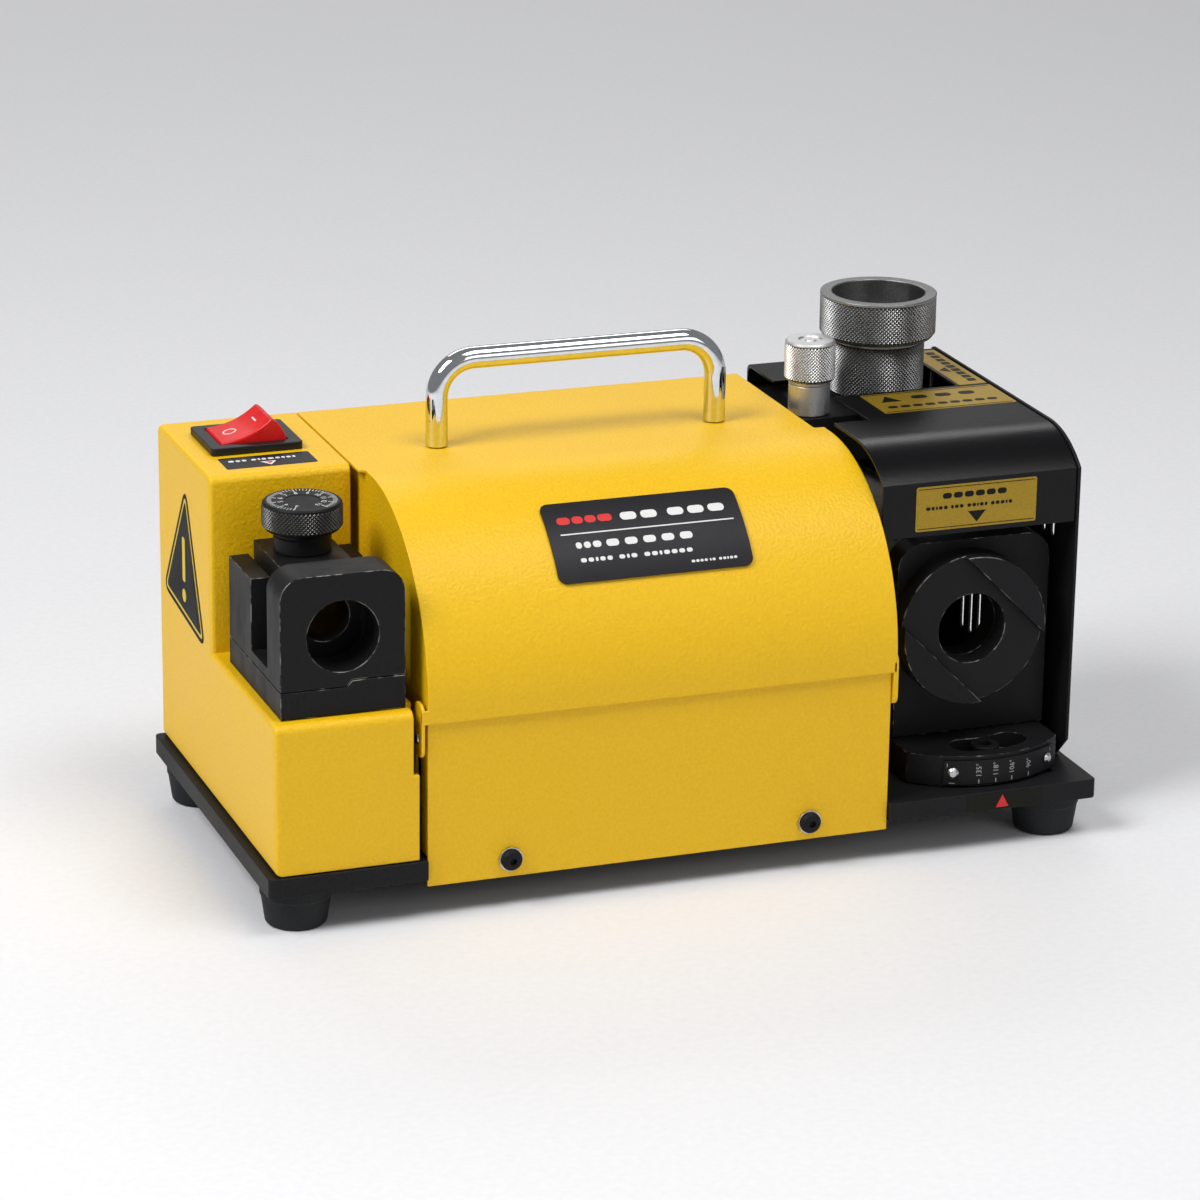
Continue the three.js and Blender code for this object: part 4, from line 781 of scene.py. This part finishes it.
def gaugePiece():
    low, high, at = boxAndMiddle("gauge_knob")
    grey, groove = paints["nickelPlate"], paints["knurlGroove"]
    radius, depth = gauge["head"], gauge["depth"]
    headLow, neckLow = gauge["headLow"], gauge["neckLow"]
    profile = [
        (0, low.z), (1.6, low.z), (1.6, low.z + 3.6), (gauge["stem"], low.z + 3.6), (gauge["stem"], neckLow),
        (gauge["neck"], neckLow, 0.3), (gauge["neck"], headLow - 1.6, 0.3),
        (gauge["neck"] - 0.7, headLow - 1.2, 0.2), (gauge["neck"] - 0.7, headLow, 0.2),
        (radius - 0.9, headLow, 0.3), (radius - depth, headLow + 0.7, 0.1),
        (radius - depth, high.z - 1.4, 0.1), (radius - 0.15, high.z - 1.2, 0.1),
        (radius - 0.3, high.z - 0.6, 0.2), (radius - 1.0, high.z, 0.3), (4.6, high.z, 0.2),
        (4.2, high.z - 0.7, 0.2), (2.2, high.z - 0.7, 0.2), (2.0, high.z - 0.2, 0.2), (0, high.z - 0.2),
    ]
    form = turned("knob_form", filleted(profile, 0.1), "z", at, 96, grey, groove)
    darken(form, at, radius - depth, headLow + 0.6, high.z - 1.3)
    soften(form, 0)
    bandLow, bandHigh = headLow + 0.5, high.z - 1.2
    knurled("gauge_dial_knob", "gauge_knob", form, at, radius, bandLow, bandHigh, gauge, grey)


gaugePiece()


# Web dial: black knurled head with a printed face

dial = {"head": 14.6, "neck": 10.4, "pivot": 4.0, "pitch": 1.55, "depth": 0.5, "neckGroove": 0.35}


def dialPiece():
    low, high, at = boxAndMiddle("web_dial_knob")
    black = paints["blackOxideSteel"]
    radius, depth = dial["head"], dial["depth"]
    headLow, neckLow = high.z - 10, high.z - 18
    profile = [
        (0, low.z), (dial["pivot"], low.z), (dial["pivot"], neckLow), (dial["neck"], neckLow, 0.3),
        (dial["neck"], neckLow + 5.4, 0.2), (dial["neck"] - dial["neckGroove"], neckLow + 5.8, 0.1),
        (dial["neck"] - dial["neckGroove"], headLow, 0.3), (radius - 1.2, headLow, 0.3),
        (radius - depth, headLow + 0.9, 0.1), (radius - depth, high.z - 1.0, 0.1),
        (radius - 0.4, high.z - 0.6, 0.2), (radius - 1.0, high.z, 0.3), (6.4, high.z, 0.1),
        (6.2, high.z - 0.25, 0.1), (0, high.z - 0.25),
    ]
    form = turned("dial_form", filleted(profile, 0.1), "z", at, 112, black)
    soften(form, 0)
    # the knurl's pyramids are grey: painted highlights on the black crests
    crests = paints["knurlCrestHighlight"]
    knurled("web_dial", "web_dial_knob", form, at, radius, headLow + 0.5, high.z - 0.7, dial, crests)
    return at, high.z


dialAt, dialTop = dialPiece()


# Feet

foot = {"sole": 11.0, "top": 13.0, "bore": 2.4, "sink": 5.5, "sinkDeep": 8.0}


def footPiece(node):
    low, high, at = boxAndMiddle(node)
    profile = [
        (foot["bore"], high.z), (foot["bore"], foot["sinkDeep"]), (foot["sink"], foot["sinkDeep"]),
        (foot["sink"], low.z, 0.4), (foot["sole"], low.z, 2.0), (foot["sole"] + 1.5, high.z - 4.2, 1.0),
        (foot["top"] - 0.1, high.z - 3.4, 0.6), (foot["top"], high.z, 0.5),
    ]
    form = turned(node + "_form", filleted(profile, 0.2, 6), "z", at, 72, paints["mouldedRubber"])
    soften(form, 0)
    standIn(form, node)


for corner in ("front_left", "front_right", "rear_left", "rear_right"):
    footPiece("foot_" + corner)
print("turned pieces done")


# Screws that repeat: grid or line of heads, each grown by one tree

def screwTree():
    sizes = {"Width": 0.3, "Depth": 0.1, "Radius": 0.004, "Tall": 0.002, "Tilt": 0.0}
    tree = treeWith("screwHeads", sizes, {"Across": 2, "Along": 2})
    given = addNode(tree, "NodeGroupInput").outputs
    spread = {0: given["Width"], 1: given["Depth"], 2: given["Across"], 3: given["Along"]}
    grid = addNode(tree, "GeometryNodeMeshGrid", spread).outputs[0]
    form = {"Vertices": 32, "Radius": given["Radius"], "Depth": given["Tall"]}
    shank = addNode(tree, "GeometryNodeMeshCylinder", form).outputs[0]
    narrow = addNode(tree, "ShaderNodeMath", {0: given["Radius"], 1: 0.8}, operation="MULTIPLY").outputs[0]
    form = {"Vertices": 32, "Radius Top": narrow, "Radius Bottom": given["Radius"], "Depth": 0.0006}
    crown = addNode(tree, "GeometryNodeMeshCone", form)
    half = addNode(tree, "ShaderNodeMath", {0: given["Tall"], 1: 0.5}, operation="MULTIPLY").outputs[0]
    lift = addNode(tree, "ShaderNodeCombineXYZ", {2: half}).outputs[0]
    placing = {"Geometry": crown.outputs[0], "Translation": lift}
    raised = addNode(tree, "GeometryNodeTransform", placing).outputs[0]
    both = addNode(tree, "GeometryNodeJoinGeometry")
    tree.links.new(shank, both.inputs[0])
    tree.links.new(raised, both.inputs[0])
    heads = {"Points": grid, "Instance": both.outputs[0]}
    copies = addNode(tree, "GeometryNodeInstanceOnPoints", heads).outputs[0]
    tilt = addNode(tree, "ShaderNodeCombineXYZ", {0: given["Tilt"]}).outputs[0]
    placing = {"Geometry": copies, "Rotation": tilt, "Translation": given["Centre"]}
    stood = addNode(tree, "GeometryNodeTransform", placing).outputs[0]
    real = addNode(tree, "GeometryNodeRealizeInstances", {0: stood}).outputs[0]
    coat = {"Geometry": real, "Material": given["Finish"]}
    done = addNode(tree, "GeometryNodeSetMaterial", coat).outputs[0]
    addNode(tree, "NodeGroupOutput", {0: done})
    return tree


screwHeads = screwTree()


def addScrews(name, centre, spread, counts, radius, tall, tilt):
    values = {
        "Width": spread[0] * mm, "Depth": spread[1] * mm, "Radius": radius * mm, "Tall": tall * mm,
        "Tilt": math.radians(tilt), "Across": counts[0], "Along": counts[1],
        "Centre": tuple(c * mm for c in centre), "Finish": paints["zincPlate"],
    }
    screws = grown(name, screwHeads, values)
    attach(screws, "machine")


footCentre = boxAndMiddle("foot_rear_right")[2]
addScrews("foot_screws", (0, 0, 6.4), [2 * c for c in footCentre], (2, 2), 4.2, 2.6, 180)
rearMiddle = ((hoodLow.x + hoodRight) / 2, hoodHigh.y + 0.5, 34.0)
addScrews("rear_screws", rearMiddle, (hoodRight - hoodLow.x - 24, 0), (3, 1), 3.2, 1.0, -90)
# one small head on the hood's left ear, seen through the seam
headProfile = [(0, 0.3), (1.9, 0.3), (1.9, -0.4), (1.3, -0.9), (0, -0.9)]
headProfile = [(radius, hoodLow.x + out) for radius, out in headProfile]
earScrew = turned("ear_screw", headProfile, "x", (hoodLow.y + 5.4, 67.0), 32, paints["zincPlate"])
soften(earScrew, 0)
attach(earScrew, "machine")
print("screws done")


# Port ring: bored disc with a slanted key channel across its face

portRing = {"radius": 28.6, "bore": 13.3, "disc": 8.6, "channel": 17.2, "tilt": 45}


def portRingPiece():
    low, high = box("port_ring")
    at = ((low.x + high.x) / 2, (low.z + high.z) / 2)
    black, edgeHighlightAndWear = paints["blackOxideSteel"], paints["highlightAndWearEdges"]
    back, mid, front = high.y, high.y - portRing["disc"], low.y
    radius, bore = portRing["radius"], portRing["bore"]
    profile = [(bore, back), (radius, back), (radius, mid), (bore, mid)]
    # the bevels of disc and lands take the lighter edge finish: a painted edge highlight, with worn patches
    disc = turned("ring_disc", profile, "y", at, 96, black, edgeHighlightAndWear)
    soften(disc, 0.35, edgeSlot=1)
    parts = [disc]
    channel = portRing["channel"]
    reach = math.degrees(math.acos(channel / radius))
    for side in (0, 180):
        turn = 90 - portRing["tilt"] + side
        outline = arc(at, radius, turn - reach, turn + reach, 40)
        land = prism("ring_land", outline, "y", front, mid + 0.4, black, edgeHighlightAndWear)
        parts.append(soften(land, 0.4, edgeSlot=1, angle=40))
    standIn(merged("port_ring_fine", parts), "port_ring")


portRingPiece()


# Clamp screw: round head with a hexagon socket

clamp = {"head": 5.5, "tall": 6.1, "shank": 2.3, "hex": 2.9, "socket": 3.2}


def clampPiece():
    low, high, at = boxAndMiddle("swivel_clamp_screw")
    ledge = high.z - clamp["tall"]
    profile = [
        (0, low.z), (clamp["shank"], low.z, 0.2), (clamp["shank"], ledge), (clamp["head"], ledge, 0.2),
        (clamp["head"], high.z, 0.7), (0, high.z),
    ]
    form = turned("clamp_form", filleted(profile, 0), "z", at, 64, paints["blackOxideSteel"])
    socket = prism("socket", arc(at, clamp["hex"], 0, 300, 5), "z", high.z - clamp["socket"], high.z + 1)
    carve(form, socket)
    soften(form, 0.12)
    standIn(form, "swivel_clamp_screw")


clampPiece()


# Rocker: arc-ended section with a shallow valley, moulded ring and bar on its two ends

rocker = {
    "radius": 12.6, "low": 165.4, "high": 58.2, "wide": 21.6, "pivot": (-132.25, 145.9), "pin": 1.5,
}


def rockerPiece():
    low, high = box("switch_rocker")
    middleY = (low.y + high.y) / 2
    centre = rocker["pivot"]
    radius = rocker["radius"]
    middle = (rocker["low"] + rocker["high"]) / 2

    def polar(out, degrees):
        angle = math.radians(degrees)
        return Vector((centre[0] + out * math.cos(angle), centre[1] + out * math.sin(angle)))

    start, dip, end = polar(radius, rocker["high"]), polar(radius * 0.3, middle), polar(radius, rocker["low"])

    def valley(share):
        return between(start, dip, end, share)

    outline = arc(centre, radius, rocker["low"], middle + 110, 14)
    outline += [tuple(polar(9, middle + 180))]
    outline += arc(centre, radius, middle - 110, rocker["high"], 14)
    outline += [tuple(valley(i / 20)) for i in range(1, 20)]
    red = paints["polishedRedPlastic"]
    half = rocker["wide"] / 2
    body = prism("rocker_body", outline, "y", middleY - half, middleY + half, red)
    soften(body, 0.7, 4)
    profile = [(0, low.y), (rocker["pin"], low.y), (rocker["pin"], high.y), (0, high.y)]
    pin = turned("rocker_pin", profile, "y", centre, 24, red)
    soften(pin, 0)
    parts = [body, pin]

    # marks stand just proud of the valley
    def mark(outlineLocal, share):
        spot = valley(share)
        along = (valley(share + 0.02) - valley(share - 0.02)).normalized()
        out = Vector((along.y, -along.x))
        if out.y < 0:
            out = -out
        bm = bmesh.new()
        rings = []
        for h in (-0.2, 0.16):
            places = [(spot + along * u + out * h, v) for u, v in outlineLocal]
            rings.append([bm.verts.new((p.x, middleY + v, p.y)) for p, v in places])
        slab(bm, *rings)
        return linked("mark", meshFrom(bm, "mark"), paints["whiteInk"])

    ringPart = arc((0, 0), 2.6, 0, 175, 16) + arc((0, 0), 2.1, 175, 0, 16)
    otherPart = arc((0, 0), 2.6, 180, 355, 16) + arc((0, 0), 2.1, 355, 180, 16)
    parts += [mark(ringPart, 0.72), mark(otherPart, 0.72)]
    parts += [mark([(-0.3, -2.4), (0.3, -2.4), (0.3, 2.4), (-0.3, 2.4)], 0.22)]
    standIn(merged("rocker", parts), "switch_rocker")


rockerPiece()
print("ring, clamp and rocker done")


# Printed labels and plates: flat shapes given a place by a function of (u, v, height)

def textMesh(text, size):
    curve = bpy.data.curves.new("digits", "FONT")
    curve.body = text
    curve.size = size
    curve.align_x = "CENTER"
    curve.align_y = "CENTER"
    curve.resolution_u = 3
    curve.extrude = 0.03
    holder = linked("digits", curve)
    bpy.context.view_layer.update()
    graph = bpy.context.evaluated_depsgraph_get()
    mesh = bpy.data.meshes.new_from_object(holder.evaluated_get(graph), depsgraph=graph)
    bpy.data.objects.remove(holder)
    return mesh


def printed(name, body, placer, shapes, texts=(), strip=0):
    bm = bmesh.new()
    materials = []

    def slotNumber(paint):
        if paints[paint] not in materials:
            materials.append(paints[paint])
        return materials.index(paints[paint])

    for paint, low, high, outline in shapes:
        for face in slab(bm, *[[bm.verts.new((u, v, h)) for u, v in outline] for h in (low, high)]):
            face.material_index = slotNumber(paint)
    for paint, height, text, size, u, v, turn in texts:
        mesh = textMesh(text, size)
        place = Matrix.Translation((u, v, height)) @ Matrix.Rotation(math.radians(turn), 4, "Z")
        mesh.transform(place)
        start = len(bm.faces)
        bm.from_mesh(mesh)
        bm.faces.ensure_lookup_table()
        for face in bm.faces[start:]:
            face.material_index = slotNumber(paint)
        bpy.data.meshes.remove(mesh)
    bmesh.ops.recalc_face_normals(bm, faces=bm.faces)
    if strip:
        levels = [vert.co.y for vert in bm.verts]
        v = min(levels) + strip
        while v < max(levels):
            everything = bm.verts[:] + bm.edges[:] + bm.faces[:]
            bmesh.ops.bisect_plane(bm, geom=everything, plane_co=(0, v, 0), plane_no=(0, 1, 0))
            v += strip
    for vert in bm.verts:
        vert.co = Vector(placer(*vert.co)) * mm
    mesh = bpy.data.meshes.new(name)
    bm.to_mesh(mesh)
    bm.free()
    label = linked(name, mesh, *materials)
    if strip:
        label.data.shade_smooth()
        label.data.set_sharp_from_angle(angle=math.radians(35))
    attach(label, body)
    return label


# A row of short round-ended bars that stands for a line of print `height` tall.
def bars(paint, u0, v, height, widths, space, low, high):
    row = []
    u = u0
    lower, upper = v + height * 0.2, v + height * 0.8
    for width in widths:
        outline = roundedBox(u, u + width, lower, upper, min(width, upper - lower) * 0.45, 3)
        row.append((paint, low, high, outline))
        u += width + space
    return row


ink = (0.12, 0.2)  # print lies on the foil's top


# name plate bent over the hood's shoulder: u along the hood, v up the arc
def namePlate():
    low, high = box("name_plate")
    centre = (hoodLow.y + hood["radius"], hoodHigh.z - hood["radius"])
    start, end = 28, 56
    length = math.radians(end - start) * hood["radius"]

    def placer(u, v, h):
        angle = math.radians(90 + end) - v / hood["radius"]
        out = hood["radius"] + 0.3 + h
        return (low.x + u, centre[0] + out * math.cos(angle), centre[1] + out * math.sin(angle))

    wide = high.x - low.x
    foil = [("printedFoil", 0.0, 0.8, roundedBox(0, wide, 0, length, 3.2, 8))]
    top = (0.8, 0.86)
    foil += [("whiteInk", 0.8, 0.85, roundedBox(4.5, wide - 3.5, length - 14.4, length - 13.9, 0.1, 1))]
    rows = [
        # from the left, down from the top, height, widths of the bars, space between them
        (4.5, 11.0, 5.2, [5.0, 4.2, 4.2, 5.4], 0.7),
        (28.5, 11.4, 5.6, [6.2, 6.2], 1.6),
        (46.5, 11.4, 5.6, [6.2, 6.2, 6.2], 1.6),
        (9.0, 21.0, 4.2, [2.2, 2.6, 3.2], 0.8),
        (20.5, 21.2, 4.6, [4.8, 4.8, 4.8, 4.8, 4.8], 2.2),
        (9.5, 26.0, 2.6, [2.2, 2.0, 1.0, 2.0, 2.0], 0.7),
        (24.0, 26.0, 2.6, [2.2, 1.0, 2.2], 0.7),
        (33.5, 26.0, 2.6, [2.2, 2.2, 1.0, 2.2, 2.2, 2.2, 2.2], 0.7),
        (50.5, 29.9, 1.6, [1.4, 1.2, 1.2, 1.2], 0.4),
        (57.5, 29.9, 1.6, [0.6, 1.2], 0.4),
        (61.0, 29.9, 1.6, [1.2, 1.2, 0.6, 1.2, 1.2], 0.4),
    ]
    for i, (u, down, height, widths, space) in enumerate(rows):
        paint = "whiteInk" if i else "redInk"
        foil += bars(paint, u, length - down, height, widths, space, *top)
    plate = printed("name_plate_foil", "machine", placer, foil, strip=1.2)
    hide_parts("name_plate")


namePlate()


def topPlacer(z):
    return lambda u, v, h: (u, v, z + h)


def frontPlacer(y):
    return lambda u, v, h: (u, y - h, v)


def leftPlacer(x):
    return lambda u, v, h: (x - h, -u, v)


# gold label on the flat header above the port
coverLow, coverHigh = box("right_cover")
header = [("goldFoil", 0.0, 0.12, roundedBox(92.0, 140.3, 119.0, 136.0, 0.8, 3))]
header += [("blackInk", *ink, roundedBox(92.8, 139.5, 119.8, 120.05, 0.1, 1))]
header += [("blackInk", *ink, roundedBox(92.8, 139.5, 134.95, 135.2, 0.1, 1))]
header += bars("blackInk", 102.5, 130.1, 3.6, [3.6] * 6, 0.8, *ink)
headerWords = {
    96.0: [1.7, 1.2, 0.7, 1.5, 1.5], 106.0: [1.0, 1.5, 1.4],
    112.5: [1.5, 1.4, 0.6, 1.5, 1.0], 122.0: [1.4, 1.5, 1.5, 0.7, 1.4],
}
for u, widths in headerWords.items():
    header += bars("blackInk", u, 126.4, 2.2, widths, 0.5, *ink)
header += [("blackInk", *ink, [(112.8, 125.2), (116.4, 120.9), (120.0, 125.2)])]
printed("header_label", "machine", frontPlacer(coverLow.y), header)

# gold label on the top of the cover, in front of the well
top = [("goldFoil", 0.0, 0.12, roundedBox(102.0, 156.0, -4.4, 20.6, 0.8, 3))]
top += [("blackInk", *ink, roundedBox(103.0, 155.0, -3.4, -3.0, 0.1, 1))]
top += [("blackInk", *ink, roundedBox(103.0, 155.0, 19.2, 19.6, 0.1, 1))]
top += [("blackInk", *ink, [(106.5, 9.4), (110.5, 16.6), (114.5, 9.4)])]
top += bars("blackInk", 120.0, 9.6, 6.6, [6.4] * 3, 3.4, *ink)
top += bars("blackInk", 106.0, 0.4, 4.4, [4.0] * 9, 1.1, *ink)
printed("well_label", "machine", topPlacer(coverHigh.z), top)

# narrow strip beside the well, read along the machine's depth
side = [("goldFoil", 0.0, 0.12, roundedBox(144.6, 156.0, 23.0, 72.0, 0.8, 3))]
for k in range(9):
    side += [("blackInk", *ink, roundedBox(150.4, 153.8, 27.0 + 4.8 * k, 30.4 + 4.8 * k, 0.4, 2))]
side += [("blackInk", *ink, [(145.6, 44.0), (149.2, 47.2), (149.2, 40.8)])]
printed("strip_label", "machine", topPlacer(coverHigh.z), side)

# black label in front of the switch, with a small arrow
housingLow, housingHigh = box("left_housing")
web = [("printedFoil", 0.0, 0.12, roundedBox(-148.3, -114.3, 11.5, 25.0, 0.8, 3))]
web += bars("whiteInk", -145.6, 18.6, 3.2, [2.2, 1.7, 1.7], 0.6, *ink)
web += bars("whiteInk", -137.0, 18.6, 3.2, [1.9, 0.8, 1.7, 2.3, 1.7, 1.2, 1.7, 1.1], 0.6, *ink)
web += [("whiteInk", *ink, [(-134.4, 17.2), (-128.4, 17.2), (-131.4, 12.9)])]
web += [("redInk", 0.2, 0.26, [(-132.9, 16.6), (-129.9, 16.6), (-131.4, 14.3)])]
printed("web_label", "machine", topPlacer(housingHigh.z), web)


# hazard triangle on the left side: black, with a thin yellow line inside, and a plain bar over a dot
def triangleLine(points, inset, width):
    centre = sum((Vector(p) for p in points), Vector((0, 0))) / 3
    reach = min((Vector(p) - centre).length for p in points)
    outer = [tuple(centre + (Vector(p) - centre) * (1 - inset / reach * 2)) for p in points]
    inner = [tuple(centre + (Vector(p) - centre) * (1 - (inset + width) / reach * 2)) for p in points]
    return filleted(outer, 2.0, 6), filleted(inner, 1.6, 6)


hazard = [(-37.0, 133.0), (-70.0, 84.0), (-12.6, 77.5)]
outline = filleted(hazard, 4.5, 8)
outerLine, innerLine = triangleLine(hazard, 1.8, 1.0)
sign = [
    ("signFoil", 0.0, 0.12, outline),
    ("yellowInk", 0.12, 0.17, outerLine),
    ("signFoil", 0.12, 0.2, innerLine),
    ("yellowInk", 0.2, 0.27, roundedBox(-42.2, -38.4, 95.0, 112.0, 1.2, 4)),
    ("yellowInk", 0.2, 0.27, arc((-40.3, 89.6), 2.5, 0, 345, 23)),
]
printed("hazard_sign", "machine", leftPlacer(housingLow.x), sign)

# index sticker on the base's front edge
baseLow, baseHigh = box("base_plate")
index = [("blackInk", 0.0, 0.12, roundedBox(107.5, 137.5, baseLow.z + 0.5, baseHigh.z - 0.5, 0.5, 3))]
index += [("redInk", *ink, [(118.9, 16.2), (124.1, 16.2), (121.5, 21.0)])]
printed("index_sticker", "machine", frontPlacer(baseLow.y), index)

# angle scale on the swivel's bent plate: digits stand on end, each with its tick below
swivel = {"x": 120.8, "y": -28.1, "radius": 45.1}


def scalePlacer(u, v, h):
    angle = u / swivel["radius"]
    out = swivel["radius"] + h
    return (swivel["x"] + out * math.sin(angle), swivel["y"] - out * math.cos(angle), v)


degree = math.radians(1) * swivel["radius"]
scaleLow = box("scale_plate")[0].z
ticks = []
numbers = []
for angle, text in ((-8.5, "135°"), (0.0, "118°"), (8.6, "106°"), (18.6, "90°")):
    u = angle * degree
    ticks += [("greyInk", 0.0, 0.08, roundedBox(u - 0.2, u + 0.2, scaleLow + 0.4, scaleLow + 2.0, 0.1, 1))]
    numbers += [("greyInk", 0.05, text, 2.9, u, scaleLow + 5.6, 90)]
leftMark = -21 * degree
underline = roundedBox(leftMark - 1.3, leftMark + 0.9, scaleLow + 0.5, scaleLow + 0.8, 0.1, 1)
ticks += [("greyInk", 0.0, 0.08, underline)]
for u in (leftMark - 2.2, 34.5 * degree):
    line = roundedBox(u - 0.15, u + 0.15, scaleLow + 7.0, scaleLow + 8.3, 0.1, 1)
    ticks += [("greyInk", 0.0, 0.08, line)]
printed("angle_scale", "swivel", scalePlacer, ticks, numbers)

# dial face: short and long ticks round most of the circle, numbers inside them
face = []
faceNumbers = []
span = 300
for k in range(51):
    angle = 240 - span * k / 50
    marked = k % 5 == 0
    inner, outer = (9.6 if marked else 10.9), 12.6
    half = 0.16 if marked else 0.11
    ahead = Vector((math.cos(math.radians(angle)), math.sin(math.radians(angle))))
    aside = Vector((ahead.y, -ahead.x)) * half
    corners = [ahead * inner + aside, ahead * outer + aside, ahead * outer - aside, ahead * inner - aside]
    face += [("whiteInk", 0.0, 0.07, corners)]
    if marked:
        faceNumbers += [("whiteInk", 0.04, str(3 + k // 5), 2.7, *(ahead * 7.9), angle - 90)]
printed(
    "dial_face", "web_dial",
    lambda u, v, h: (dialAt[0] + u, dialAt[1] + v, dialTop + h), face, faceNumbers,
)
print("labels done")


# Floor, light and camera

studio = {
    "world": ("#F4F5F7", 0.25),
    "lights": [
        # name, place, aim, width, depth, watts
        ("key", (-1.35, -0.35, 1.6), (0.0, 0.0, 0.08), 0.9, 0.9, 31),
        ("top", (0.35, -0.6, 1.7), (0.0, 0.0, 0.1), 0.9, 0.7, 12),
        ("front", (0.9, -2.0, 1.0), (0.0, 0.0, 0.08), 1.4, 0.9, 6),
        ("backdrop", (0.8, 4.6, 3.2), (0.8, 4.6, 0.0), 4.0, 2.4, 95),
    ],
}


def floorPiece():
    bm = bmesh.new()
    bmesh.ops.create_grid(bm, x_segments=8, y_segments=8, size=4.0)
    floor = linked("floor", meshFrom(bm, "floor", 1.0))
    look = {
        "light": "#E6E6E8", "dark": "#E2E2E4", "cloud": 400, "grain": 3.0, "relief": 0.01,
        "rough": (0.6, 0.7),
    }
    floor.data.materials.append(finish("studioFloor", look))


floorPiece()

world = bpy.data.worlds.new("studio")
bpy.context.scene.world = world
world.use_nodes = True
background = world.node_tree.nodes["Background"]
background.inputs[0].default_value = linear(studio["world"][0])
background.inputs[1].default_value = studio["world"][1]

for name, place, aim, wide, deep, watts in studio["lights"]:
    data = bpy.data.lights.new(name, "AREA")
    data.shape = "RECTANGLE"
    data.size, data.size_y, data.energy = wide, deep, watts
    lamp = bpy.data.objects.new(name, data)
    lamp.location = place
    lamp.rotation_euler = (Vector(aim) - Vector(place)).to_track_quat("-Z", "Y").to_euler()
    collection.objects.link(lamp)

camera = {
    "place": (-0.5623, -1.4892, 0.6222), "right": (0.939, -0.344, 0.013), "up": (0.098, 0.305, 0.947),
    "lens": 135.6,
}
right = Vector(camera["right"]).normalized()
back = right.cross(Vector(camera["up"])).normalized()
up = back.cross(right)
lens = bpy.data.cameras.new("view")
lens.lens = camera["lens"]
lens.sensor_width = 36
view = bpy.data.objects.new("view", lens)
view.matrix_world = Matrix.Translation(camera["place"]) @ Matrix((right, up, back)).transposed().to_4x4()
collection.objects.link(view)
bpy.context.scene.camera = view
bpy.context.scene.view_settings.view_transform = "Standard"
print("studio done")
